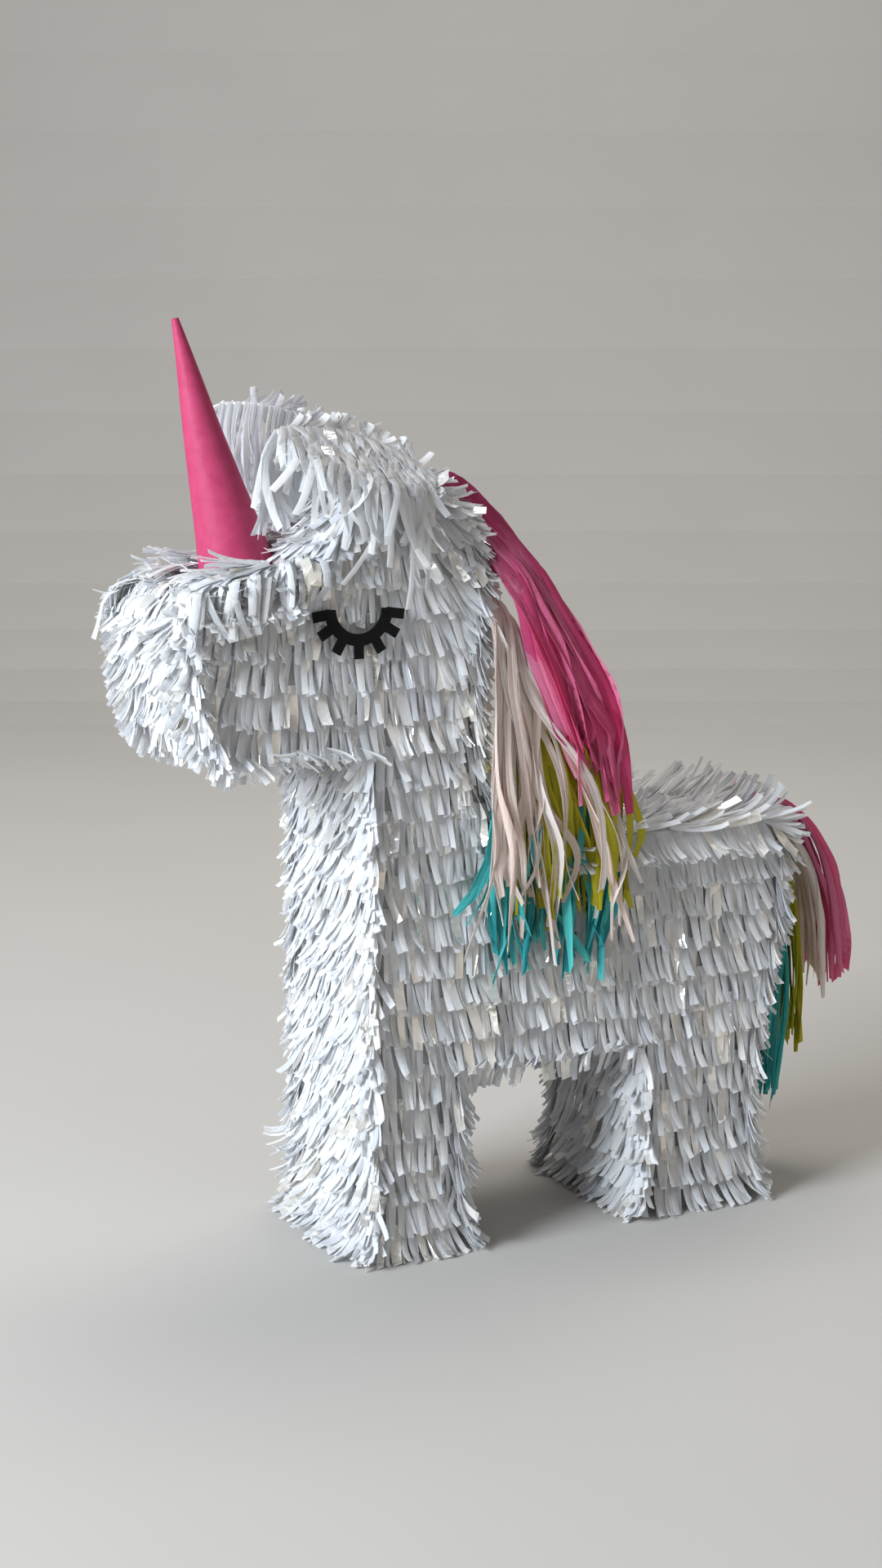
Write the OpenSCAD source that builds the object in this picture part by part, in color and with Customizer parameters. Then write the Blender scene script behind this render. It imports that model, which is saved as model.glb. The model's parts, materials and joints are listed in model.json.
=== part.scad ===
// Unicorn pinata: a flat card box in the outline of an animal, dressed in paper fringe.
// +X runs from the snout to the tail, +Z is up, the animal's left side faces -Y.
// The origin is the centre of the front foot's sole, on the floor.

/* [Card box] */
// Width of the box over its two side panels
box_w = 116; // [90:1:150]
// Thickness of the corrugated card
card_t = 3; // [2:0.1:4]
// Height of the back's card above the floor
back_h = 268; // [240:1:325]
// Height of the belly's card above the floor
belly_h = 128; // [105:1:155]
// Radius of the rump's upper corner
rump_r = 13; // [8:1:24]
// How far the rump stands out behind the rear foot
rump_out = 22; // [10:1:30]

/* [Legs] */
// Front leg, front to back
front_leg_l = 62; // [50:1:76]
// Rear leg, front to back
rear_leg_l = 86; // [70:1:104]
// Gap between the two legs
leg_gap = 140; // [115:1:170]
// Fillet between a leg and the belly
leg_fillet = 10; // [4:1:16]

/* [Head] */
// Chest to the back of the head
neck_l = 74; // [60:1:90]
// Chest to the front of the snout
snout_reach = 118; // [96:1:142]
// Height of the jaw above the floor
jaw_h = 340; // [325:1:400]
// Height of the snout at its front
snout_h = 89; // [72:1:108]
// Slope of the bridge of the nose
bridge_slope = 14; // [8:1:18]
// Height of the head from jaw to poll
head_h = 163; // [150:1:196]
// Length of the rounded chin
chin_l = 36; // [24:1:44]

/* [Horn] */
// Radius at the base
horn_r = 24.5; // [18:0.5:30]
// Radius at the blunt tip
horn_tip_r = 2; // [1:0.5:4]
// Length along its axis
horn_l = 163; // [130:1:200]
// Distance of its centre behind the front of the snout
horn_set = 55; // [44:1:66]
// Thickness of the rolled paper
horn_wall = 1; // [0.6:0.1:2]

/* [Ears and eyes] */
// Length of an ear
ear_l = 104; // [84:1:126]
// Width of an ear
ear_w = 46; // [36:1:56]
// Thickness of the ear's card
ear_t = 2; // [1:0.1:3]
// How steeply the left ear points up
left_ear_pitch = 14; // [5:1:25]
// How steeply the right ear points up
right_ear_pitch = 23; // [10:1:35]
// How far an ear slopes down towards its side
ear_roll = 32; // [20:1:40]
// Inner radius of a closed eyelid
lid_r = 15.5; // [12:0.5:19]
// Width of the eyelid band
lid_w = 7.5; // [5:0.5:9]
// Radius that the lashes reach to
lash_reach = 31; // [26:0.5:37]
// Width of a lash
lash_w = 6.5; // [4:0.5:8]
// Thickness of the black card
eye_t = 1.2; // [0.8:0.1:2]

/* [Fringe] */
// Depth of the paper fringe over the card
fringe_t = 9; // [6:0.5:12]
// Gap left above the floor by the fringe
floor_gap = 1; // [0.5:0.5:4]

/* [Fill flap and hanger] */
// Length of the filling hole
fill_l = 70; // [56:1:84]
// Width of the filling hole
fill_w = 72; // [50:1:86]
// Cut around the three loose sides of the flap
flap_gap = 0.8; // [0.5:0.1:1.5]
// Radius of the hanging hole
hang_r = 4; // [3:0.25:5]
// Wall of the eyelet in that hole
eyelet_wall = 0.6; // [0.4:0.1:1]
// Side of the square plate that spreads the load
hang_plate_w = 40; // [32:1:50]

/* [Mane and tail] */
// Thickness of one colour of the mane
lock_t = 5; // [4:0.5:6.5]
// Gap between one colour and the next
lock_gap = 0.5; // [0.4:0.1:1]
// Width of the tail
tail_w = 44; // [34:1:54]
// How far the tail arches out behind the rump
tail_reach = 80; // [66:1:96]
// Thickness of the tissue at one colour of the tail
tail_t = 15; // [12:1:17]

/* [Hidden] */
$fn = 64;
round_n = 6;
eps = 0.01;
glue_gap = 0.3;

// Places along the length
chest_x = -front_leg_l / 2;
front_leg_back = front_leg_l / 2;
rear_leg_front = front_leg_back + leg_gap;
rear_leg_back = rear_leg_front + rear_leg_l;
rump_x = rear_leg_back + rump_out;
head_back = chest_x + neck_l;
snout_x = chest_x - snout_reach;
neck_run = 65;
back_x = head_back + neck_run;

// Heights
nose_h = jaw_h + snout_h;
poll_h = jaw_h + head_h;
chin_h = 56;
poll_drop = 63;
neck_drop = jaw_h + 5 - back_h;
rump_low = back_h - 53;
thigh_h = 95;

// Outer half widths
half_w = box_w / 2;
inner_half = half_w - card_t;
skin_half = half_w + fringe_t;

function bridge_z(x) = nose_h + (x - snout_x) * tan(bridge_slope);
function oval(cx, cz, rx, rz, a, b, n = round_n) =
    [for (i = [0:n]) let (t = a + (b - a) * i / n) [cx + rx * cos(t), cz + rz * sin(t)]];

brow_x = chest_x - 34;
poll_front = chest_x - 7;
poll_x = head_back - 53;

// The outline runs up the chest, over the head and back, and home along the floor
chest_run = [[chest_x, 0], [chest_x, jaw_h]];
jaw_run = [[snout_x + chin_l, jaw_h]];
snout_run = concat(
    [for (p = oval(snout_x + chin_l, jaw_h + chin_h, chin_l, chin_h, -90, -180)) if (p[1] > jaw_h + eps) p],
    [[snout_x, nose_h - 4], [snout_x + 3, bridge_z(snout_x + 3)]]);
bridge_run = [[brow_x, bridge_z(brow_x)]];
brow_run = [[poll_front, poll_h - 8]];
poll_run = concat(
    oval(poll_x, poll_h - poll_drop, head_back - poll_x, poll_drop, 90, 0),
    [[head_back, jaw_h + 5]]);
neck_run_pts = [for (p = oval(back_x, jaw_h + 5, neck_run, neck_drop, 180, 270)) if (p[0] > head_back + eps) p];
back_run = [[rump_x - rump_r, back_h]];
rump_run = concat(
    [for (p = oval(rump_x - rump_r, back_h - rump_r, rump_r, rump_r, 90, 0)) if (p[0] > rump_x - rump_r + eps) p],
    [[rump_x, rump_low], [rear_leg_back, thigh_h], [rear_leg_back, 0]]);
rear_sole_run = [[rear_leg_front, 0]];
rear_leg_run = [[rear_leg_front, belly_h - leg_fillet]];
belly_run = [[rear_leg_front - leg_fillet, belly_h], [front_leg_back + leg_fillet, belly_h]];
front_leg_run = [[front_leg_back, belly_h - leg_fillet], [front_leg_back, 0]];
front_sole_run = [[chest_x, 0]];

RUNS = [chest_run, jaw_run, snout_run, bridge_run, brow_run, poll_run, neck_run_pts, back_run,
        rump_run, rear_sole_run, rear_leg_run, belly_run, front_leg_run, front_sole_run];
CORNERS = len([for (run = RUNS) each run]) - 1;
OUTLINE = [for (i = [0:CORNERS - 1]) [for (run = RUNS) each run][i]];

// Run numbers, in the order above
CHEST = 0;
JAW = 1;
SNOUT = 2;
BRIDGE = 3;
BROW = 4;
POLL = 5;
NECK = 6;
BACK = 7;
RUMP = 8;
REAR_SOLE = 9;
REAR_LEG = 10;
BELLY = 11;
FRONT_LEG = 12;
FRONT_SOLE = 13;

// Index of the last corner of run k
function last(k) = k < 0 ? 0 : k == 0 ? len(RUNS[0]) - 1 : last(k - 1) + len(RUNS[k]);

// Unit normal that points out of the edge from a to b
function out_normal(a, b) = let (d = b - a, l = norm(d)) [-d[1] / l, d[0] / l];

// Corner i of the outline moved out by t, with its mitre
function moved(i, t) =
    let (
        p = OUTLINE[(i + CORNERS - 1) % CORNERS],
        q = OUTLINE[i % CORNERS],
        r = OUTLINE[(i + 1) % CORNERS],
        n = out_normal(p, q),
        m = out_normal(q, r)
    ) q + t * (n + m) / (1 + n * m);

// Band of thickness t along run k, outside the outline when t is positive
function band(k, t) = let (a = last(k - 1), b = last(k)) concat(
    [for (i = [a:b]) moved(i, 0)],
    [for (i = [b:-1:a]) moved(i, t)]);

// Extrudes an X-Z drawing along Y from y0 to y1
module slab(y0, y1) {
    translate([0, y1, 0]) rotate([90, 0, 0]) linear_extrude(y1 - y0) children();
}

// Extrudes a Y-Z drawing along X from x0 to x1
module loaf(x0, x1) {
    translate([x0, 0, 0]) rotate([90, 0, 90]) linear_extrude(x1 - x0) children();
}

module box_at(x0, x1, y0, y1, z0, z1) {
    translate([x0, y0, z0]) cube([x1 - x0, y1 - y0, z1 - z0]);
}

// Filling hole, its hinge line and the hanging hole
hang_x0 = back_x + 2;
hang_x = hang_x0 + hang_plate_w / 2;
fill_x0 = hang_x0 + hang_plate_w + 4;
hinge_x = fill_x0 + fill_l;
hinge_gap = 0.2;
skin_relief = fringe_t + 2;
// Room behind the hinge line, because the open flap leans back
hinge_room = 2.5;
eyelet_rim = 3.5;
eyelet_hole = hang_r + eyelet_wall;
skin_hole = eyelet_hole + eyelet_rim + 1;

// Horn seat, and how far along the bridge from its axis the brow rises
horn_x = snout_x + horn_set;
brow_d = (brow_x - horn_x) / cos(bridge_slope);
tab_t = 0.6;
tab_w = 9;
tab_gap = 1;
slit_w = 1.5;
slits = 8;

// Ears
ear_back = head_back - 31;
ear_side = half_w - 5;
ear_base_h = poll_h + 5;
ear_skin_t = 6;
tab_l = 12;
tab_h = 16;

// Eyes
eye_x = chest_x - 11;
eye_h = jaw_h + 86;
lash_angles = [-172, -148, -120, -90, -60, -32, -8];

// ---- Card box ----

module side_panel(y0) {
    color("burlywood") slab(y0, y0 + card_t) polygon(OUTLINE);
}

module left_panel() {
    side_panel(-half_w);
}

module right_panel() {
    side_panel(half_w - card_t);
}

// Card strip that bridges the two panels along run k
module edge_strip(k) {
    color("tan") slab(-inner_half, inner_half) polygon(band(k, -card_t));
}

module back_strip() {
    color("tan") difference() {
        edge_strip(BACK);
        box_at(fill_x0, hinge_x, -fill_w / 2, fill_w / 2, back_h - 2 * card_t, back_h + eps);
        translate([hang_x, 0, back_h - 2 * card_t]) cylinder(r = eyelet_hole, h = 3 * card_t);
    }
}

// Card floor inside the box, from x0 to x1 with its underside at height z
module divider(z, x0, x1) {
    color("peru") slab(-inner_half, inner_half) intersection() {
        polygon([for (i = [0:CORNERS - 1]) moved(i, -card_t)]);
        translate([x0, z]) square([x1 - x0, card_t]);
    }
}

module neck_divider() {
    divider((jaw_h + back_h) / 2, chest_x, back_x);
}

module front_leg_divider() {
    divider(belly_h, chest_x, front_leg_back + leg_fillet);
}

module rear_leg_divider() {
    divider(belly_h, rear_leg_front - leg_fillet, rump_x);
}

// ---- Filling flap and hanger ----

module fill_flap() {
    color("wheat") box_at(
        fill_x0 + flap_gap, hinge_x - hinge_gap,
        flap_gap - fill_w / 2, fill_w / 2 - flap_gap,
        back_h - card_t, back_h);
}

module fringe_flap() {
    color("whitesmoke") box_at(
        fill_x0 + flap_gap, hinge_x - skin_relief,
        flap_gap - fill_w / 2, fill_w / 2 - flap_gap,
        back_h, back_h + fringe_t);
}

module hang_plate() {
    color("peru") difference() {
        box_at(hang_x0, hang_x0 + hang_plate_w, -hang_plate_w / 2, hang_plate_w / 2,
            back_h - 2 * card_t, back_h - card_t);
        translate([hang_x, 0, back_h - 3 * card_t]) cylinder(r = eyelet_hole, h = 3 * card_t);
    }
}

module hang_eyelet() {
    low = back_h - 2 * card_t;
    rim = eyelet_hole + eyelet_rim;
    color("gold") translate([hang_x, 0, 0]) rotate_extrude() polygon([
        [hang_r, low - eyelet_wall], [rim, low - eyelet_wall], [rim, low],
        [eyelet_hole, low], [eyelet_hole, back_h], [rim, back_h],
        [rim, back_h + eyelet_wall], [hang_r, back_h + eyelet_wall]]);
}

// ---- Horn ----

// Puts its children on the bridge of the nose, square to it
module on_bridge() {
    translate([horn_x, 0, bridge_z(horn_x)]) rotate([0, -bridge_slope, 0]) children();
}

module horn() {
    color("hotpink") on_bridge() rotate_extrude() polygon([
        [horn_r - horn_wall, tab_t], [horn_r, tab_t],
        [horn_tip_r, tab_t + horn_l], [horn_tip_r - horn_wall, tab_t + horn_l]]);
}

module horn_tabs() {
    color("deeppink") on_bridge() difference() {
        cylinder(r = horn_r + tab_w, h = tab_t);
        translate([0, 0, -1]) cylinder(r = horn_r - 2 * horn_wall, h = 2 + tab_t);
        for (i = [0:slits - 1]) rotate([0, 0, 360 * i / slits])
            translate([horn_r, -slit_w / 2, -1]) cube([tab_w + 1, slit_w, 2 + tab_t]);
        box_at(brow_d - tab_gap, brow_d + 2 * tab_w, -box_w, box_w, -1, 1 + tab_t);
    }
}

// ---- Ears and eyes ----

// Leaf outline with its tip at -length
module leaf(length, width) {
    r = (length * length + width * width) / (4 * width);
    intersection() {
        translate([-length / 2, r - width / 2]) circle(r);
        translate([-length / 2, width / 2 - r]) circle(r);
    }
}

// Puts its children in an ear's own frame; side is -1 on the left and 1 on the right
module on_head(side, pitch) {
    translate([ear_back, side * ear_side, ear_base_h])
        rotate([0, pitch, 0]) rotate([-side * ear_roll, 0, 0]) children();
}

// Ear card with the tab that glues it to the head, grown by g for a pocket
module ear_card(side, pitch, g = 0) {
    difference() {
        on_head(side, pitch) union() {
            translate([0, 0, -g]) linear_extrude(ear_t + 2 * g) leaf(ear_l + 2 * g, ear_w + 2 * g);
            box_at(-3 * tab_l - g, -2 * tab_l + g, -ear_t / 2 - g, ear_t / 2 + g, -tab_h, ear_t / 2);
        }
        slab(-half_w, half_w) polygon(OUTLINE);
    }
}

module left_ear() {
    color("oldlace") ear_card(-1, left_ear_pitch);
}

module right_ear() {
    color("oldlace") ear_card(1, right_ear_pitch);
}

module ear_skin(side, pitch) {
    color("white") on_head(side, pitch) translate([0, 0, ear_t]) linear_extrude(ear_skin_t)
        leaf(ear_l, ear_w);
}

module fringe_left_ear() {
    ear_skin(-1, left_ear_pitch);
}

module fringe_right_ear() {
    ear_skin(1, right_ear_pitch);
}

// Closed eye: the lower half of a ring with seven lashes
module eye(y0) {
    color("black") slab(y0, y0 + eye_t) translate([eye_x, eye_h]) union() {
        difference() {
            circle(lid_r + lid_w);
            circle(lid_r);
            translate([-lash_reach, 0]) square(2 * lash_reach);
        }
        for (a = lash_angles) rotate(a)
            translate([lid_r + lid_w / 2, -lash_w / 2]) square([lash_reach - lid_r - lid_w / 2, lash_w]);
    }
}

module left_eye() {
    eye(-skin_half - eye_t);
}

module right_eye() {
    eye(skin_half);
}

// ---- Fringe, as plain skins over the card ----

// Room that other pieces take out of the skins
module pockets() {
    ear_card(-1, left_ear_pitch, glue_gap);
    ear_card(1, right_ear_pitch, glue_gap);
    on_head(-1, left_ear_pitch) linear_extrude(ear_skin_t + ear_t + glue_gap) leaf(ear_l, ear_w);
    on_head(1, right_ear_pitch) linear_extrude(ear_skin_t + ear_t + glue_gap) leaf(ear_l, ear_w);
}

module side_skin(y0) {
    color("snow") difference() {
        slab(y0, y0 + fringe_t) polygon(OUTLINE);
        box_at(snout_x - 1, rump_x + 1, y0 - 1, y0 + fringe_t + 1, -1, floor_gap);
        pockets();
    }
}

module fringe_left() {
    side_skin(-skin_half);
}

module fringe_right() {
    side_skin(half_w);
}

// Fringe wrapped round the edge of the box along run k
module edge_skin(k) {
    color("white") difference() {
        slab(-skin_half, skin_half) polygon(band(k, fringe_t));
        box_at(snout_x - 2 * fringe_t, rump_x + 2 * fringe_t, -2 * skin_half, 2 * skin_half,
            -2 * fringe_t, floor_gap);
    }
}

module fringe_bridge() {
    color("white") difference() {
        edge_skin(BRIDGE);
        on_bridge() translate([0, 0, -1]) cylinder(r = horn_r + tab_w + glue_gap, h = 1 + tab_t + glue_gap);
        on_bridge() cylinder(r = horn_r + glue_gap, h = 3 * fringe_t);
        pockets();
    }
}

module fringe_brow() {
    color("white") difference() {
        edge_skin(BROW);
        pockets();
    }
}

module fringe_poll() {
    color("white") difference() {
        edge_skin(POLL);
        pockets();
        crest_room(glue_gap);
    }
}

module fringe_neck() {
    color("white") difference() {
        edge_skin(NECK);
        crest_room(glue_gap);
    }
}

module fringe_back() {
    color("white") difference() {
        edge_skin(BACK);
        box_at(fill_x0, hinge_x + hinge_room, -fill_w / 2, fill_w / 2, back_h - 1, back_h + 2 * fringe_t);
        translate([hang_x, 0, back_h - 1]) cylinder(r = skin_hole, h = 2 * fringe_t);
    }
}

module fringe_rump() {
    color("white") difference() {
        edge_skin(RUMP);
        tail_anchor_box(glue_gap);
    }
}

// ---- Mane ----

crest_half = 7;
// Back of the fringe behind the head
mane_x = head_back + fringe_t;

// Glued strip that holds the mane, along the back of the head and the neck
module crest_room(g = 0) {
    slab(-crest_half - g, crest_half + g) polygon(concat(
        [for (i = [last(BROW) + 3:last(NECK) - 1]) moved(i, 0)],
        [for (i = [last(NECK) - 1:-1:last(BROW) + 3]) moved(i, fringe_t + g)]));
}

module mane_crest() {
    color("hotpink") crest_room();
}

// Distance out from the middle and height of the surface that the mane lies on
MANE_LEAN = [
    [skin_half + lock_gap, 0], [skin_half + lock_gap, jaw_h + 10],
    [half_w - 20, jaw_h + 100], [10, poll_h + 8]];

// One colour of the mane: an X-Z outline, k layers out from the body
module lock(k) {
    y = k * (lock_t + lock_gap);
    intersection() {
        slab(-2 * box_w, 0) children();
        loaf(snout_x, rump_x) polygon(concat(
            [for (p = MANE_LEAN) [-p[0] - y, p[1]]],
            [for (i = [len(MANE_LEAN) - 1:-1:0]) [-MANE_LEAN[i][0] - y - lock_t, MANE_LEAN[i][1]]]));
    }
}

module mane_teal() {
    color("lightseagreen") lock(0) polygon([
        [mane_x + 10, back_h + 42], [back_x + 2, back_h + 42], [back_x + 32, back_h + 12],
        [back_x + 38, back_h - 38], [back_x + 22, back_h - 78], [mane_x + 33, back_h - 92],
        [mane_x - 2, back_h - 78], [mane_x - 12, back_h - 18], [mane_x - 2, back_h + 22]]);
}

module mane_lime() {
    color("yellowgreen") lock(1) polygon([
        [mane_x + 8, back_h + 77], [back_x - 8, back_h + 77], [back_x + 27, back_h + 52],
        [back_x + 50, back_h + 22], [back_x + 50, back_h - 28], [back_x + 32, back_h - 53],
        [back_x - 8, back_h - 63], [mane_x + 18, back_h - 53], [mane_x + 6, back_h - 8]]);
}

module mane_cream() {
    color("antiquewhite") lock(2) polygon([
        [mane_x + 4, jaw_h + 100], [mane_x + 20, jaw_h + 90], [mane_x + 38, jaw_h + 40],
        [mane_x + 48, jaw_h - 10], [mane_x + 52, jaw_h - 50], [mane_x + 46, back_h - 28],
        [mane_x + 28, back_h - 68], [mane_x + 8, back_h - 78], [mane_x - 12, back_h - 33],
        [mane_x - 14, jaw_h - 40], [mane_x + lock_gap, jaw_h], [mane_x + 2, jaw_h + 60]]);
}

module mane_pink() {
    color("hotpink") lock(3) polygon([
        [mane_x - 10, poll_h + 3], [mane_x + 14, poll_h - 25], [mane_x + 53, jaw_h + 85],
        [mane_x + 86, jaw_h + 40], [mane_x + 103, jaw_h - 5], [mane_x + 96, back_h + 28],
        [mane_x + 56, back_h + 28], [mane_x + 46, back_h + 57], [mane_x + 32, jaw_h + 25],
        [mane_x + 18, jaw_h + 80], [mane_x + 6, jaw_h + 115], [mane_x + 2, jaw_h + 138]]);
}

// ---- Tail ----

tail_x = rump_x + fringe_t;
tail_root_x = tail_x + 2 + glue_gap;
tail_h = back_h - 88;
tail_rise = 18;
tail_step = tail_t + 1;
// How far below the bend each colour hangs
tail_drop = [44, 52, 90, 124];

module tail_anchor_box(g = 0) {
    box_at(rump_x, tail_x + g, -tail_w / 3 - g, tail_w / 3 + g, rump_low + 1 - g, back_h - rump_r - 1 + g);
}

module tail_anchor() {
    color("peru") tail_anchor_box();
}

module tail_wrap() {
    color("hotpink") box_at(
        tail_x + glue_gap, tail_root_x - glue_gap, -tail_w / 2, tail_w / 2,
        tail_h + tail_rise, tail_h + tail_rise + tail_reach);
}

// One colour of the tail: a quarter oval out from the root, then straight down
module tail_lock(k) {
    reach = tail_reach - k * tail_step;
    inner = reach - tail_t;
    slab(-tail_w / 2, tail_w / 2) polygon(concat(
        oval(tail_root_x, tail_h, reach, reach + tail_rise, 90, 0),
        [[tail_root_x + reach, tail_h - tail_drop[k]], [tail_root_x + inner, tail_h - tail_drop[k]]],
        oval(tail_root_x, tail_h, inner, inner + tail_rise, 0, 90)));
}

module tail_pink() {
    color("hotpink") tail_lock(0);
}

module tail_cream() {
    color("antiquewhite") tail_lock(1);
}

module tail_lime() {
    color("yellowgreen") tail_lock(2);
}

module tail_teal() {
    color("lightseagreen") tail_lock(3);
}

left_panel();
right_panel();
edge_strip(CHEST);  // chest_strip
edge_strip(JAW);  // jaw_strip
edge_strip(SNOUT);  // snout_strip
edge_strip(BRIDGE);  // bridge_strip
edge_strip(BROW);  // brow_strip
edge_strip(POLL);  // poll_strip
edge_strip(NECK);  // neck_strip
back_strip();
edge_strip(RUMP);  // rump_strip
edge_strip(REAR_SOLE);  // rear_sole
edge_strip(REAR_LEG);  // rear_leg_strip
edge_strip(BELLY);  // belly_strip
edge_strip(FRONT_LEG);  // front_leg_strip
edge_strip(FRONT_SOLE);  // front_sole
neck_divider();
front_leg_divider();
rear_leg_divider();
fill_flap();
hang_plate();
hang_eyelet();
horn();
horn_tabs();
left_ear();
right_ear();
left_eye();
right_eye();
fringe_left();
fringe_right();
edge_skin(CHEST);  // fringe_chest
edge_skin(JAW);  // fringe_jaw
edge_skin(SNOUT);  // fringe_snout
fringe_bridge();
fringe_brow();
fringe_poll();
fringe_neck();
fringe_back();
fringe_flap();
fringe_rump();
edge_skin(REAR_LEG);  // fringe_rear_leg
edge_skin(BELLY);  // fringe_belly
edge_skin(FRONT_LEG);  // fringe_front_leg
fringe_left_ear();
fringe_right_ear();
mane_crest();
mane_pink();
mane_cream();
mane_lime();
mane_teal();
tail_anchor();
tail_wrap();
tail_pink();
tail_cream();
tail_lime();
tail_teal();
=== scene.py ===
"""Standing unicorn pinata: a card box dressed in tissue fringe, with horn, ears, eyes, mane and tail."""

import json
import logging
from dataclasses import dataclass, field
from enum import Enum

import bpy
import numpy as np
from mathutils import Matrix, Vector


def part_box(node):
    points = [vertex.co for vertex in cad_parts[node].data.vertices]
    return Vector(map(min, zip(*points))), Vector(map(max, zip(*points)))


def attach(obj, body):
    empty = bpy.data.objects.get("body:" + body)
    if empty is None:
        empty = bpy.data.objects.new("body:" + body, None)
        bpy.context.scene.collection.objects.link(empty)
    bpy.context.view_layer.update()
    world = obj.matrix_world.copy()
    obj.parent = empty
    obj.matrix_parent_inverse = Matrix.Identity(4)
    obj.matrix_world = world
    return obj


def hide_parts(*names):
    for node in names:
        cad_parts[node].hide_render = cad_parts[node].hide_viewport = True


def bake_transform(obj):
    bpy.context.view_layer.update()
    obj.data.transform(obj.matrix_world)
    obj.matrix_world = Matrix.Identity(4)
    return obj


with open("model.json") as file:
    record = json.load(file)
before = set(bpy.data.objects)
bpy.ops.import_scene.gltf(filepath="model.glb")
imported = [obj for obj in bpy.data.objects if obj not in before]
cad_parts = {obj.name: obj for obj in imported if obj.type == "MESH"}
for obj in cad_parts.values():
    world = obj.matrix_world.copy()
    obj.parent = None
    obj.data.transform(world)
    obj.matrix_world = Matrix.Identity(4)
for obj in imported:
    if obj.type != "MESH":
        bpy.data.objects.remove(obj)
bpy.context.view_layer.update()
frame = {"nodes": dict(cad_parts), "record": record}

LOG = logging.getLogger("pinata")
Array = np.ndarray
MM = 0.001


# ---- Arrays ----


def unit(v: Array) -> Array:
    """Scale vectors to length one: v / |v| along the last axis.

    Args:
        v: Vectors along the last axis.

    Returns:
        The unit vectors.
    """
    return v / np.maximum(np.linalg.norm(v, axis=-1, keepdims=True), 1e-12)


def ease(t: Array) -> Array:
    """Smooth step, 3t^2 - 2t^3 with t held between 0 and 1."""
    t = np.clip(t, 0.0, 1.0)
    return t * t * (3 - 2 * t)


def drift(rng: np.random.Generator, row: Array, along: Array, scale: float) -> Array:
    """Slow random value for each strip: random knots on every row, `scale` apart, joined by straight lines.

    Args:
        rng: Source of the knots.
        row: Whole row number of each strip.
        along: Place of each strip along its row, in metres.
        scale: Distance between knots, in metres.

    Returns:
        One value from -1 to 1 for each strip.
    """
    place = (along - along.min()) / scale
    knots = rng.uniform(-1, 1, (int(row.max()) + 1, int(place.max()) + 2))
    left = np.floor(place).astype(int)
    part = place - left
    return knots[row, left] * (1 - part) + knots[row, left + 1] * part


def turned(v: Array, axis: Array, angle: Array) -> Array:
    """Turn v about a unit axis: v cos a + (axis x v) sin a, for v square to the axis.

    Args:
        v: Vectors square to the axis.
        axis: Unit axes.
        angle: Angles in radians, one for each vector.

    Returns:
        The turned vectors.
    """
    return v * np.cos(angle)[..., None] + np.cross(axis, v) * np.sin(angle)[..., None]


def smooth_line(knots: Array, rings: int) -> Array:
    """Catmull-Rom curve through knots.

    Each span is a cubic whose slope at a knot is half the step between that knot's neighbours.

    Args:
        knots: Knots of N curves, N x J x 3.
        rings: Number of points wanted on each curve.

    Returns:
        Points, N x rings x 3.
    """
    count = knots.shape[1]
    t = np.linspace(0, count - 1, rings)
    i = np.minimum(t.astype(int), count - 2)
    f = t - i
    before, after = 2 * knots[:, :1] - knots[:, 1:2], 2 * knots[:, -1:] - knots[:, -2:-1]
    padded = np.concatenate([before, knots, after], 1)
    weights = 0.5 * np.stack([-f + 2 * f**2 - f**3, 2 - 5 * f**2 + 3 * f**3,
                              f + 4 * f**2 - 3 * f**3, f**3 - f**2])
    return sum(weights[k][None, :, None] * padded[:, i + k] for k in range(4))


def rows_by_places(rows: int, places: int) -> tuple[Array, Array]:
    """Row number and place number of every cell of a table, row by row.

    Args:
        rows: Number of rows.
        places: Number of places on each row.

    Returns:
        Row numbers and place numbers, rows x places of each.
    """
    row, place = np.meshgrid(np.arange(rows), np.arange(places), indexing="ij")
    return row.ravel(), place.ravel()


def upright(flat: Array, y: Array | float) -> Array:
    """Points or ways in X-Z with a Y of their own.

    Args:
        flat: X and Z, N x 2.
        y: Y of each, or one for all.

    Returns:
        Points or ways, N x 3.
    """
    return np.stack([flat[:, 0], np.broadcast_to(y, len(flat)), flat[:, 1]], -1)


# ---- Finishes ----


class Slot(Enum):
    """Material slots of the record that the pieces take their finish from."""

    CARD = "card"
    WHITE_CARD = "white_card"
    WHITE_TISSUE = "white_tissue"
    FILM = "pearl_film"
    PINK = "pink_tissue"
    CREAM = "cream_tissue"
    LIME = "lime_tissue"
    TEAL = "teal_tissue"
    HORN = "horn_paper"
    BLACK = "black_card"
    METAL = "eyelet_metal"


Colour = tuple[float, float, float]


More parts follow.
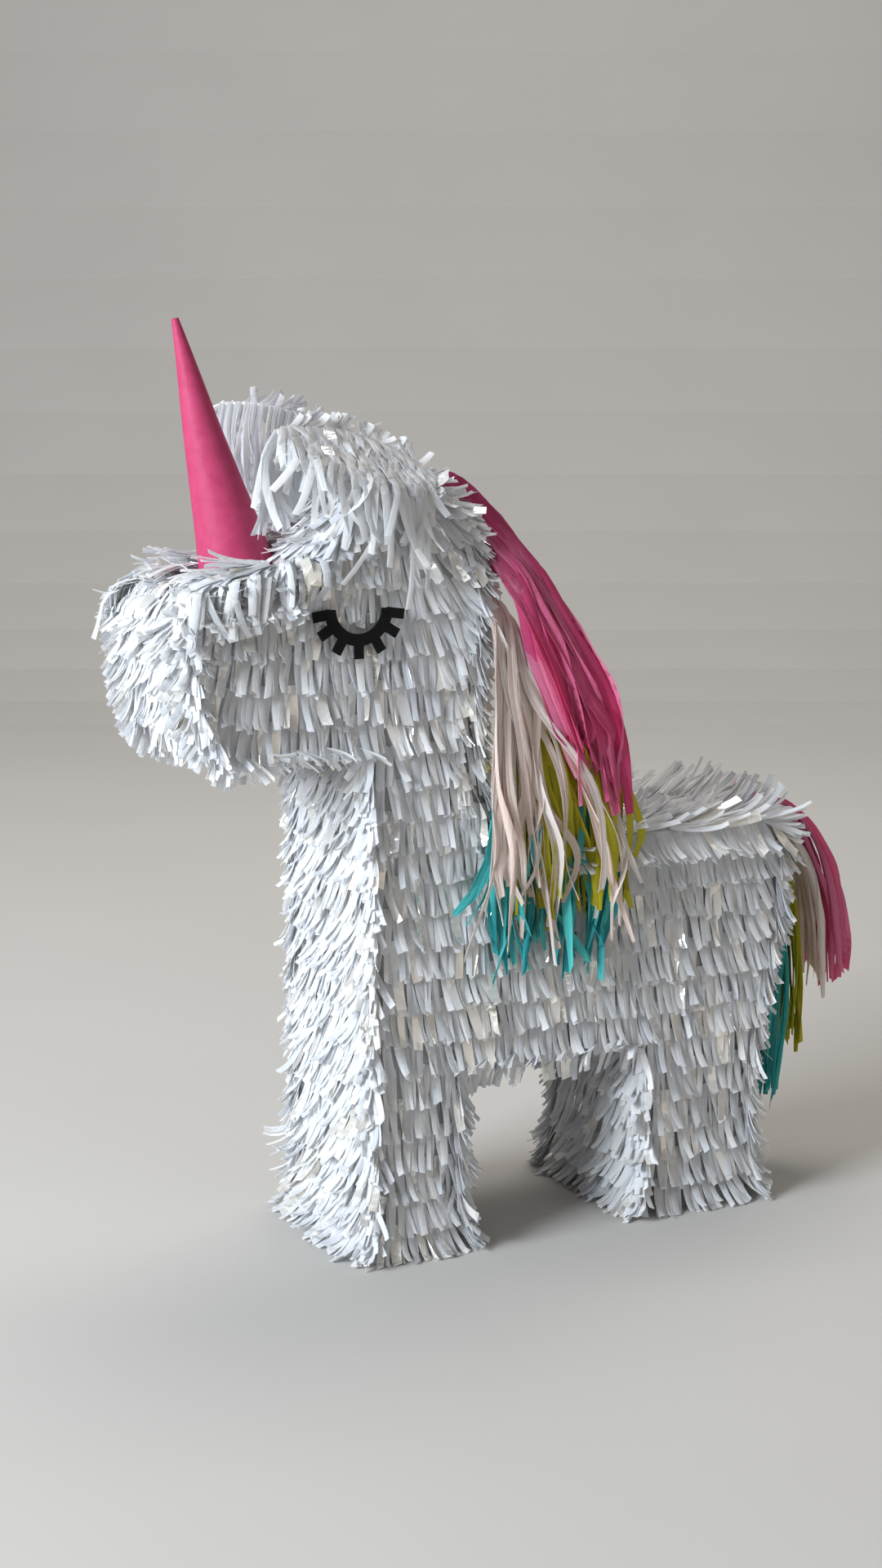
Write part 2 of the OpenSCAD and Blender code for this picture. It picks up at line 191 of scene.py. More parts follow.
class Mixer:
    """Wires the nodes of one material round its Principled shader."""

    def __init__(self, name: str) -> None:
        """Start a material with a bare shader and output.

        Args:
            name: Name of the material.
        """
        self.material = bpy.data.materials.new(name)
        self.material.use_nodes = True
        self.tree = self.material.node_tree
        self.shader = self.tree.nodes["Principled BSDF"]
        self.output = self.tree.nodes["Material Output"]

    def node(self, kind: str, inputs: dict | None = None, **settings) -> bpy.types.Node:
        """Add a node.

        Args:
            kind: Blender's node type.
            inputs: Values or output sockets for its inputs, by name or number.
            settings: Properties to set on the node.

        Returns:
            The node.
        """
        made = self.tree.nodes.new(kind)
        for key, value in settings.items():
            setattr(made, key, value)
        for key, value in (inputs or {}).items():
            if isinstance(value, bpy.types.NodeSocket):
                self.tree.links.new(value, made.inputs[key])
            else:
                made.inputs[key].default_value = value
        return made

    def set(self, **values) -> None:
        """Set the shader's sockets; an underscore in a name stands for a space."""
        for key, value in values.items():
            socket = self.shader.inputs[key.replace("_", " ")]
            if isinstance(value, bpy.types.NodeSocket):
                self.tree.links.new(value, socket)
            else:
                socket.default_value = value

    def noise(self, vector: bpy.types.NodeSocket, scale: float, detail: float = 3.0) -> bpy.types.NodeSocket:
        """Noise value of a given scale, per metre of the vector.

        Args:
            vector: Place to read the noise at.
            scale: Lumps per metre.
            detail: Octaves.

        Returns:
            The noise value, near 0.5.
        """
        made = self.node("ShaderNodeTexNoise", {"Vector": vector, "Scale": scale, "Detail": detail})
        return made.outputs["Fac"]

    def ramp(self, value: bpy.types.NodeSocket, low: Colour, high: Colour, start: float,
             end: float) -> bpy.types.NodeSocket:
        """Colour that runs from low to high while value runs from start to end.

        Args:
            value: Driving value.
            low: Colour up to start.
            high: Colour from end on.
            start: Value where the run begins.
            end: Value where it ends.

        Returns:
            The colour.
        """
        made = self.node("ShaderNodeValToRGB", {"Fac": value})
        first, second = made.color_ramp.elements
        first.position, first.color = start, (*low, 1)
        second.position, second.color = end, (*high, 1)
        return made.outputs["Color"]

    def spread(self, value: bpy.types.NodeSocket, low: float, high: float) -> bpy.types.NodeSocket:
        """Map a value from 0..1 to low..high."""
        made = self.node("ShaderNodeMapRange", {"Value": value, "To Min": low, "To Max": high})
        return made.outputs["Result"]

    def bump(self, height: bpy.types.NodeSocket, strength: float, distance: float) -> None:
        """Raise the surface by a height.

        Args:
            height: Height from 0 to 1.
            strength: Strength of the effect.
            distance: Height in metres that 1 stands for.
        """
        made = self.node("ShaderNodeBump", {"Strength": strength, "Distance": distance, "Height": height})
        self.set(Normal=made.outputs["Normal"])

    def weave(self, across: float, along: float) -> tuple[bpy.types.NodeSocket, bpy.types.NodeSocket]:
        """Strip coordinates held in the piece's own attribute, stretched for wrinkles along the strip.

        Args:
            across: Stretch across the strip.
            along: Stretch along the strip.

        Returns:
            The stretched coordinates and the strip's own tone from 0 to 1.
        """
        held = self.node("ShaderNodeAttribute", attribute_name="weave")
        u, v, tone = self.node("ShaderNodeSeparateXYZ", {"Vector": held.outputs["Vector"]}).outputs
        shift = self.node("ShaderNodeMath", {0: tone, 1: 37.0}, operation="MULTIPLY").outputs[0]
        joined = self.node("ShaderNodeCombineXYZ", {"X": u, "Y": v, "Z": shift})
        scaled = self.node("ShaderNodeMapping", {"Vector": joined.outputs[0], "Scale": (across, along, 1.0)})
        return scaled.outputs["Vector"], tone


@dataclass(frozen=True)
class TissueFinish:
    """Thin matte paper cut in strips: fibre wrinkles along it, a cupped section, and light passing through.

    The height is fibre noise minus cup (900 u)^2, where u is the distance from the strip's middle in metres.
    """

    name: str
    deep: Colour
    pale: Colour
    through: float = 0.3
    wrinkle: float = 0.6
    roughness: float = 0.72
    cup: float = 0.22

    def make(self) -> bpy.types.Material:
        """Build the material.

        Returns:
            The finished material.
        """
        mix = Mixer(self.name)
        place, tone = mix.weave(900.0, 110.0)
        fibre = mix.noise(place, 1.0)
        across = mix.node("ShaderNodeSeparateXYZ", {"Vector": place}).outputs["X"]
        bow = mix.node("ShaderNodeMath", {0: across, 1: across}, operation="MULTIPLY").outputs[0]
        arch = mix.node("ShaderNodeMath", {0: bow, 1: -self.cup, 2: fibre}, operation="MULTIPLY_ADD")
        uneven = mix.spread(fibre, -0.25, 0.25)
        blotch = mix.node("ShaderNodeMath", {0: uneven, 1: tone}, operation="ADD").outputs[0]
        colour = mix.ramp(blotch, self.deep, self.pale, 0.05, 0.9)
        mix.set(Base_Color=colour, Roughness=mix.spread(fibre, self.roughness - 0.1, self.roughness + 0.1))
        mix.set(Specular_IOR_Level=0.3)
        mix.bump(arch.outputs[0], self.wrinkle, 0.0006)
        glow = mix.node("ShaderNodeBsdfTranslucent", {"Color": colour})
        front, back = mix.shader.outputs[0], glow.outputs[0]
        both = mix.node("ShaderNodeMixShader", {0: self.through, 1: front, 2: back})
        mix.tree.links.new(both.outputs[0], mix.output.inputs["Surface"])
        return mix.material


def crepe(name: str, deep: Colour, pale: Colour) -> TissueFinish:
    """Crepe paper of the streamers: tissue that is more wrinkled and lets less light through.

    Args:
        name: Name of the finish.
        deep: Darkest colour.
        pale: Lightest colour.

    Returns:
        The finish.
    """
    return TissueFinish(name, deep, pale, through=0.36, wrinkle=0.9)


@dataclass(frozen=True)
class FilmFinish:
    """Pearly plastic film strips: smooth, glossy, with a faint change of tint."""

    name: str
    deep: Colour = (0.84, 0.84, 0.85)
    pale: Colour = (1.0, 0.96, 0.88)

    def make(self) -> bpy.types.Material:
        """Build the material.

        Returns:
            The finished material.
        """
        mix = Mixer(self.name)
        place, tone = mix.weave(260.0, 60.0)
        ripple = mix.noise(place, 1.0, 1.0)
        tint = mix.ramp(tone, self.deep, self.pale, 0.1, 0.9)
        mix.set(Base_Color=tint, Roughness=mix.spread(ripple, 0.08, 0.22))
        mix.set(Metallic=0.4, Coat_Weight=0.8, Coat_Roughness=0.06)
        mix.bump(ripple, 0.35, 0.0008)
        return mix.material


@dataclass(frozen=True)
class CardFinish:
    """Corrugated or plain card: mottled pulp with fibres, and flute lines where the board is corrugated."""

    name: str
    deep: Colour
    pale: Colour
    flute: float = 0.25
    roughness: float = 0.8

    def make(self) -> bpy.types.Material:
        """Build the material.

        Returns:
            The finished material.
        """
        mix = Mixer(self.name)
        place = mix.node("ShaderNodeTexCoord").outputs["Object"]
        pulp = mix.noise(place, 160.0, 6.0)
        drawn = mix.node("ShaderNodeMapping", {"Vector": place, "Scale": (1.0, 1.0, 0.12)}).outputs[0]
        grain = mix.noise(drawn, 900.0, 2.0)
        lines = mix.node("ShaderNodeTexWave", {"Vector": place, "Scale": 24.0, "Distortion": 0.6},
                         bands_direction="X")
        flutes = mix.spread(lines.outputs["Fac"], 0, self.flute)
        height = mix.node("ShaderNodeMath", {0: grain, 1: flutes}, operation="ADD")
        mix.set(Base_Color=mix.ramp(pulp, self.deep, self.pale, 0.35, 0.65))
        mix.set(Roughness=mix.spread(grain, self.roughness - 0.08, self.roughness + 0.08))
        mix.set(Specular_IOR_Level=0.3)
        mix.bump(height.outputs[0], 0.25, 0.0003)
        return mix.material


@dataclass(frozen=True)
class MetalFinish:
    """Stamped brass: polished, with fine scratches."""

    name: str
    colour: Colour = (0.80, 0.62, 0.30)

    def make(self) -> bpy.types.Material:
        """Build the material.

        Returns:
            The finished material.
        """
        mix = Mixer(self.name)
        place = mix.node("ShaderNodeTexCoord").outputs["Object"]
        worn = mix.noise(place, 700.0, 4.0)
        deep = tuple(0.75 * c for c in self.colour)
        mix.set(Base_Color=mix.ramp(worn, deep, self.colour, 0.3, 0.6), Metallic=1.0)
        mix.set(Roughness=mix.spread(worn, 0.18, 0.42))
        mix.bump(worn, 0.15, 0.0001)
        return mix.material


@dataclass(frozen=True)
class FloorFinish:
    """Plain pale studio floor with a faint mottle."""

    name: str
    pale: Colour = (0.62, 0.60, 0.57)

    def make(self) -> bpy.types.Material:
        """Build the material.

        Returns:
            The finished material.
        """
        mix = Mixer(self.name)
        place = mix.node("ShaderNodeTexCoord").outputs["Object"]
        haze = mix.noise(place, 3.0, 2.0)
        deep = tuple(0.97 * c for c in self.pale)
        mix.set(Base_Color=mix.ramp(haze, deep, self.pale, 0.3, 0.7), Roughness=0.85)
        return mix.material


class Paints:
    """Every finish of the pinata, made once and handed out by slot."""

    RECIPES = {
        Slot.CARD: CardFinish("corrugated_card", (0.42, 0.28, 0.16), (0.62, 0.45, 0.28)),
        Slot.WHITE_CARD: CardFinish("ear_card", (0.78, 0.77, 0.74), (0.90, 0.89, 0.87), flute=0.0),
        Slot.WHITE_TISSUE: TissueFinish("white_tissue", (0.88, 0.90, 0.93), (0.97, 0.97, 0.97), through=0.42),
        Slot.FILM: FilmFinish("pearl_film"),
        Slot.PINK: crepe("pink_crepe", (0.78, 0.10, 0.28), (0.96, 0.32, 0.54)),
        Slot.CREAM: crepe("cream_crepe", (0.90, 0.76, 0.69), (0.98, 0.94, 0.91)),
        Slot.LIME: crepe("lime_crepe", (0.50, 0.43, 0.02), (0.78, 0.74, 0.07)),
        Slot.TEAL: crepe("teal_crepe", (0.03, 0.38, 0.42), (0.14, 0.74, 0.72)),
        Slot.HORN: CardFinish("horn_paper", (0.47, 0.045, 0.13), (0.53, 0.058, 0.155), 0.0, 0.5),
        Slot.BLACK: CardFinish("black_card", (0.002, 0.002, 0.002), (0.005, 0.005, 0.005), 0.0, 0.9),
        Slot.METAL: MetalFinish("eyelet_brass"),
    }

    def __init__(self) -> None:
        """Make each finish once."""
        self.made = {slot: recipe.make() for slot, recipe in self.RECIPES.items()}

    def dress_nodes(self) -> None:
        """Give every CAD node the material of its own slot."""
        for part in frame["record"]["subparts"]:
            obj = frame["nodes"][part["node"]]
            obj.data.materials.clear()
            obj.data.materials.append(self.made[Slot(part["material_slot"])])
        LOG.info("dressed %d CAD nodes", len(frame["nodes"]))


# ---- Meshes ----


def placed(name: str, data: bpy.types.ID) -> bpy.types.Object:
    """Put a mesh, a light or a camera in the scene as an object, at the origin.

    Args:
        name: Name of the object.
        data: What it shows.

    Returns:
        The object.
    """
    obj = bpy.data.objects.new(name, data)
    bpy.context.scene.collection.objects.link(obj)
    return obj


def dressed(mesh: bpy.types.Mesh, weave: Array, material: bpy.types.Material) -> bpy.types.Object:
    """Give a mesh its strip coordinates and its finish, and put it in the scene under its own name.

    Args:
        mesh: The mesh.
        weave: Strip coordinates of each point, n x 3.
        material: Its finish.

    Returns:
        The object.
    """
    held = mesh.attributes.new("weave", "FLOAT_VECTOR", "POINT")
    held.data.foreach_set("vector", weave.astype(np.float32).ravel())
    mesh.materials.append(material)
    obj = placed(mesh.name, mesh)
    LOG.info("%s: %d faces", mesh.name, len(mesh.polygons))
    return obj


@dataclass
class MeshBuffer:
    """Points, four-sided faces and strip coordinates gathered for one piece."""

    points: list[Array] = field(default_factory=list)
    quads: list[Array] = field(default_factory=list)
    weave: list[Array] = field(default_factory=list)
    count: int = 0

    def add(self, points: Array, quads: Array, weave: Array) -> None:
        """Add one closed shape.

        Args:
            points: Points, n x 3.
            quads: Faces as rows of four point numbers.
            weave: Strip coordinates, n x 3.
        """
        self.points.append(points)
        self.quads.append(quads + self.count)
        self.weave.append(weave)
        self.count += len(points)

    def piece(self, name: str, material: bpy.types.Material, slot: Slot,
              smooth: bool = False) -> bpy.types.Object:
        """Make the object.

        Args:
            name: Name of the piece.
            material: Its finish.
            slot: Its material slot; not used.
            smooth: True for smooth shading.

        Returns:
            The object, at the origin.
        """
        points, quads = np.concatenate(self.points), np.concatenate(self.quads)
        mesh = bpy.data.meshes.new(name)
        mesh.vertices.add(len(points))
        mesh.vertices.foreach_set("co", points.astype(np.float32).ravel())
        mesh.loops.add(quads.size)
        mesh.loops.foreach_set("vertex_index", quads.astype(np.int32).ravel())
        mesh.polygons.add(len(quads))
        mesh.polygons.foreach_set("loop_start", np.arange(0, quads.size, 4, dtype=np.int32))
        mesh.polygons.foreach_set("use_smooth", np.full(len(quads), smooth))
        mesh.update(calc_edges=True)
        return dressed(mesh, np.concatenate(self.weave), material)


def closed_slab(buffer: MeshBuffer, top: Array, bottom: Array, tone: float = 0.5) -> None:
    """Close two matching grids into a thin shell.

    Its faces are those of the top grid, those of the bottom grid turned over, and a rim round both.

    Args:
        buffer: Where the shell goes.
        top: Outer grid, A x B x 3, whose faces point outwards when walked A then B.
        bottom: Inner grid of the same shape.
        tone: Tone of the sheet.
    """
    a, b = top.shape[:2]
    index = np.arange(a * b).reshape(a, b)
    face = np.stack([index[:-1, :-1], index[1:, :-1], index[1:, 1:], index[:-1, 1:]], -1).reshape(-1, 4)
    loop = np.concatenate([index[:-1, 0], index[-1, :-1], index[:0:-1, -1], index[0, :0:-1]])
    after = np.roll(loop, -1)
    rim = np.stack([after, loop, loop + a * b, after + a * b], -1)
    quads = np.concatenate([face, face[:, ::-1] + a * b, rim])
    points = np.concatenate([top.reshape(-1, 3), bottom.reshape(-1, 3)])
    steps = np.linalg.norm(np.diff(top, axis=0, prepend=top[:1]), axis=-1).cumsum(0)
    widths = np.linalg.norm(np.diff(top, axis=1, prepend=top[:, :1]), axis=-1).cumsum(1)
    weave = np.stack([widths, steps, np.full((a, b), tone)], -1).reshape(-1, 3)
    buffer.add(points, quads, np.concatenate([weave, weave]))


def ribbons(buffer: MeshBuffer, line: Array, across: Array, width: Array, tone: Array,
            thick: float = 0.22 * MM, fold: float = 0.0, slant: Array | None = None) -> None:
    """Carry a thin flat section along many centrelines at once.

    The section has its corners at c + u w/2 X + v h/2 M, with u and v from -1 to 1, where X lies across the
    strip, square to the line's direction D, and M = D x X. A fold moves the middle of the section along M.

    Args:
        buffer: Where the strips go.
        line: Centrelines, N x K x 3.
        across: Wanted direction across each strip, N x K x 3.
        width: Width at each ring, N x K.
        tone: Tone of each strip, N.
        thick: Thickness of the paper.
        fold: Depth of the fold along the middle, as a share of the width; 0 for a flat strip.
        slant: How far the cut at the tip slopes, as a share of the width, N.
    """
    n, k = line.shape[:2]
    ahead = unit(np.gradient(line, axis=1))
    side = unit(across - np.sum(across * ahead, -1, keepdims=True) * ahead)
    face = np.cross(ahead, side)
    u = np.array([-1.0, 1.0] if fold == 0 else [-1.0, 0.0, 1.0])
    m = len(u)
    ring_u = np.concatenate([u, u[::-1]])
    ring_v = np.concatenate([np.full(m, -1.0), np.full(m, 1.0)])
    dip = (1 - np.abs(ring_u)) * fold
    half = width[..., None] / 2
    offset = half[..., None] * (ring_u[:, None] * side[:, :, None]) + (
        ring_v[:, None] * thick / 2 + dip[:, None] * width[..., None, None]) * face[:, :, None]
    points = line[:, :, None] + offset
    if slant is not None:
        points[:, -1] += (slant[:, None] * half[:, -1] * ring_u)[..., None] * ahead[:, -1:, :]
    points[..., 2] = np.maximum(points[..., 2], (0.22 + 0.1 * ring_v) * MM)
    c = 2 * m
    index = np.arange(n * k * c).reshape(n, k, c)
    after = np.roll(index, -1, 2)
    walls = np.stack([index[:, :-1], after[:, :-1], after[:, 1:], index[:, 1:]], -1)
    caps = [np.stack([index[:, e, i], index[:, e, i + 1], index[:, e, c - 2 - i], index[:, e, c - 1 - i]], -1)
            for e in (0, -1) for i in range(m - 1)]
    caps = [cap[:, ::-1] if j < m - 1 else cap for j, cap in enumerate(caps)]
    quads = np.concatenate([walls.reshape(-1, 4), *caps])
    run = np.linalg.norm(np.diff(line, axis=1, prepend=line[:, :1]), axis=-1).cumsum(1)
    weave = np.stack(np.broadcast_arrays(half * ring_u, run[..., None], tone[:, None, None]), -1)
    buffer.add(points.reshape(-1, 3), quads, weave.reshape(-1, 3))


STRIP_WIDTHS = (3.5, 5.6)
TIP_TAPER = 0.18


@dataclass
class Strips:
    """Cut paper strips, each with a root, a way down the surface and a way out of it.

    A strip's direction at the share t of its length is the unit of (1 - t^p) d0 + t^p d1, where d0 and d1 lie
    between the way down and the way out by the first and the last lift, and d1 is also turned sideways by the
    bend; the centreline is the sum of those steps.
    """

    root: Array
    down: Array
    out: Array
    length: Array
    width: Array
    lift: Array
    curl: Array
    tone: Array
    twist: Array
    bend: Array
    power: float = 1.5
    rings: int = 7

    @classmethod
    def cut(cls, rng: np.random.Generator, root: Array, down: Array, out: Array, row: Array, along: Array,
            length: float = 30 * MM, lift: float = 7.0, curl: float = 30.0, lean: float = 7.0,
            bend: float = 9.0, ragged: float = 0.09) -> "Strips":
        """Cut strips with the loose spread that hand-cut tissue has.

        Args:
            rng: Source of the spread.
            root: Roots, N x 3.
            down: Way down the surface, N x 3.
            out: Way out of the surface, N x 3.
            row: Row number of each strip.
            along: Place along the row, in metres.
            length: Mean length.
            lift: Mean lift at the root, in degrees.
            curl: Mean lift at the tip, in degrees.
            lean: Spread of the sideways lean, in degrees.
            bend: Spread of the sideways bend at the tip, in degrees.
            ragged: Spread of the length, as a share.

        Returns:
            The strips.
        """
        n = len(root)
        out = unit(out)
        down = unit(down - np.sum(down * out, -1, keepdims=True) * out)
        wave = drift(rng, row, along, 0.022)
        slow = drift(rng, row, along, 0.055)
        angle = np.radians(lean * (rng.normal(0, 1, n) + 1.1 * wave))
        down = turned(down, out, angle)
        long = length * np.clip(1 + 0.7 * ragged * slow + rng.normal(0, ragged, n), 0.6, 1.3)
        tip = curl + 8 * slow + rng.normal(0, 0.4 * curl, n) + 26 * (rng.random(n) < 0.08)
        swing = np.radians(bend * (rng.normal(0, 1, n) + 0.8 * drift(rng, row, along, 0.03)))
        wide = rng.uniform(*STRIP_WIDTHS, n) * MM
        rise = np.radians(lift + rng.uniform(-4, 5, n))
        return cls(root, down, out, long, wide, rise, np.radians(np.maximum(tip, 4.0)), rng.random(n),
                   rng.normal(0, 0.45, n), swing)

    def pick(self, mask: Array) -> "Strips":
        """The strips that a mask keeps.

        Args:
            mask: True for each strip to keep.

        Returns:
            The kept strips.
        """
        values = {k: v[mask] if isinstance(v, np.ndarray) else v for k, v in self.__dict__.items()}
        return Strips(**values)

    def start(self) -> Array:
        """Direction of each strip at its root: the way down turned out by the first lift.

        Returns:
            Unit ways, N x 3.
        """
        return self.down * np.cos(self.lift)[:, None] + self.out * np.sin(self.lift)[:, None]

    def walked(self, way: Array) -> Array:
        """Points reached from the roots by equal steps along given ways.

        Args:
            way: Unit way of each step, N x (rings - 1) x 3.

        Returns:
            Points, N x rings x 3.
        """
        step = way * (self.length / (self.rings - 1))[:, None, None]
        return np.concatenate([self.root[:, None], self.root[:, None] + step.cumsum(1)], 1)

    def line(self) -> Array:
        """Centrelines of the strips.

        Returns:
            Points, N x rings x 3.
        """
        t = np.linspace(0, 1, self.rings)
        mid = (t[1:] + t[:-1]) / 2
        f = (mid**self.power)[None, :, None]
        bent = turned(self.down, self.out, self.bend)
        end = bent * np.cos(self.curl)[:, None] + self.out * np.sin(self.curl)[:, None]
        return self.walked(unit((1 - f) * self.start()[:, None] + f * end[:, None]))

    def fall(self, rng: np.random.Generator, reach: float = 26 * MM, loose: float = 1.0) -> Array:
        """Centrelines that leave along their own way and then fall.

        At the distance s from the root the direction is the unit of (1 - f) d0 + f (g + sway) + hook t^3,
        where g is straight down and f eases from 0 to 1 between 6 mm and 6 mm + reach.

        Args:
            rng: Source of the sway and of the hook at the tip.
            reach: How long the paper takes to turn down.
            loose: Size of the sway and of the hook.

        Returns:
            Centrelines, N x rings x 3.
        """
        t = np.linspace(0, 1, self.rings)
        mid = ((t[1:] + t[:-1]) / 2)[None, :, None]
        run = mid * self.length[:, None, None]
        start = self.start()
        sway = rng.normal(0, 0.24 * loose, (len(start), 1, 3)) * [1, 0.45, 0]
        hook = rng.normal(0, 0.6 * loose, (len(start), 1, 3)) * [1, 0.4, 0.2] * mid**3
        turn = ease((run - 6 * MM) / reach)
        return self.walked(unit((1 - turn) * start[:, None] + turn * (np.array([0, 0, -1.0]) + sway) + hook))

    def lay(self, buffer: MeshBuffer, line: Array, rng: np.random.Generator) -> None:
        """Add the strips to a piece along their final centrelines.

        Args:
            buffer: Where they go.
            line: Centrelines, N x rings x 3.
            rng: Source of the slant of each cut.
        """
        t = np.linspace(0, 1, self.rings)
        side = unit(np.cross(self.out, self.down))
        across, down = (np.broadcast_to(v[:, None], line.shape) for v in (side, self.down))
        across = turned(across, down, self.twist[:, None] * t)
        width = self.width[:, None] * (1 - TIP_TAPER * t**2)
        ribbons(buffer, line, across, width, self.tone, slant=rng.normal(0, 0.3, len(self.root)))


# ---- The box under the paper ----


@dataclass
class EdgePath:
    """A stretch of the box's outline in X-Z, with its outward normals."""

    corners: Array
    flow: int = 1

    def __post_init__(self) -> None:
        """Measure the stretch, and turn it round when the paper runs the other way."""
        step = np.diff(self.corners, axis=0)
        self.normals = unit(np.stack([-step[:, 1], step[:, 0]], -1))
        if self.flow < 0:
            self.corners, self.normals = self.corners[::-1], self.normals[::-1]
        self.places = np.concatenate([[0], np.linalg.norm(np.diff(self.corners, axis=0), axis=1).cumsum()])
        self.length = float(self.places[-1])

    def at(self, s: Array, soften: float = 6 * MM) -> tuple[Array, Array, Array]:
        """Point, direction and outward normal at distances along the stretch.

        The point lies on the polygon; the normal is the mean of the edge normals at s - soften, s and
        s + soften.

        Args:
            s: Distances from the start, in metres.
            soften: Reach of the mean.

        Returns:
            Points, directions of the paper and normals, each N x 2 in X-Z.
        """
        point = np.stack([np.interp(s, self.places, self.corners[:, i]) for i in (0, 1)], -1)
        spans = [np.searchsorted(self.places, s + d, "right") - 1 for d in (-soften, 0, soften)]
        normal = unit(sum(self.normals[np.clip(span, 0, len(self.normals) - 1)] for span in spans))
        ahead = np.stack([normal[:, 1], -normal[:, 0]], -1) * self.flow
        return point, ahead, normal


class Silhouette:
    """Outline of the card box, read from the flat face of a side panel."""

    def __init__(self, node: str = "left_panel") -> None:
        """Read the outline: the edges of the face nearest -Y that only one triangle has, joined end to end.

        Args:
            node: CAD node of the side panel.
        """
        mesh = frame["nodes"][node].data
        co = np.zeros(len(mesh.vertices) * 3)
        mesh.vertices.foreach_get("co", co)
        co = co.reshape(-1, 3)
        mesh.calc_loop_triangles()
        tri = np.zeros(len(mesh.loop_triangles) * 3, np.int32)
        mesh.loop_triangles.foreach_get("vertices", tri)
        tri = tri.reshape(-1, 3)
        tri = tri[co[tri][:, :, 1].max(1) < co[:, 1].min() + 1e-5]
        grid, number = np.unique(np.round(co[:, [0, 2]], 6), axis=0, return_inverse=True)
        edges = number.ravel()[tri][:, [0, 1, 1, 2, 2, 0]].reshape(-1, 2)
        forward, backward = edges @ [len(grid), 1], edges @ [1, len(grid)]
        border = dict(edges[~np.isin(forward, backward)].tolist())
        order = [next(iter(border))]
        while border[order[-1]] != order[0]:
            order.append(border[order[-1]])
        loop = grid[order]
        x, z = loop.T
        if np.sum(x * np.roll(z, -1) - z * np.roll(x, -1)) > 0:
            loop = loop[::-1]
        self.loop = loop

    def stretch(self, start: tuple[float, float], end: tuple[float, float], flow: int = 1) -> EdgePath:
        """The part of the outline between the corners nearest to two points, in the outline's own order.

        Args:
            start: Point near the first corner, in mm.
            end: Point near the last corner, in mm.
            flow: 1 when the paper runs from start to end, -1 when it runs back.

        Returns:
            The stretch.
        """
        a, b = (int(np.argmin(np.linalg.norm(self.loop - np.array(p) * MM, axis=1))) for p in (start, end))
        count = (b - a) % len(self.loop)
        return EdgePath(self.loop[(a + np.arange(count + 1)) % len(self.loop)], flow)

    def inside(self, p: Array) -> Array:
        """Even-odd test of X-Z points against the outline.

        Args:
            p: Points, N x 2.

        Returns:
            True for each point inside.
        """
        a, b = self.loop, np.roll(self.loop, -1, 0)
        x, z = p[:, :1], p[:, 1:]
        rise = np.where(b[:, 1] == a[:, 1], 1e-12, b[:, 1] - a[:, 1])
        cross = a[:, 0] + (z - a[:, 1]) / rise * (b[:, 0] - a[:, 0])
        return (((a[:, 1] > z) != (b[:, 1] > z)) & (x < cross)).sum(1) % 2 == 1

    def nearest(self, p: Array) -> tuple[Array, Array]:
        """Distance to the outline and the outward normal of its nearest edge.

        Args:
            p: Points, N x 2.

        Returns:
            Distances N, and normals N x 2.
        """
        a, b = self.loop, np.roll(self.loop, -1, 0)
        d = b - a
        t = np.clip(((p[:, None] - a) * d).sum(-1) / (d * d).sum(-1), 0, 1)
        gap = np.linalg.norm(p[:, None] - a - t[..., None] * d, axis=-1)
        near = gap.argmin(1)
        return gap.min(1), unit(np.stack([-d[:, 1], d[:, 0]], -1))[near]


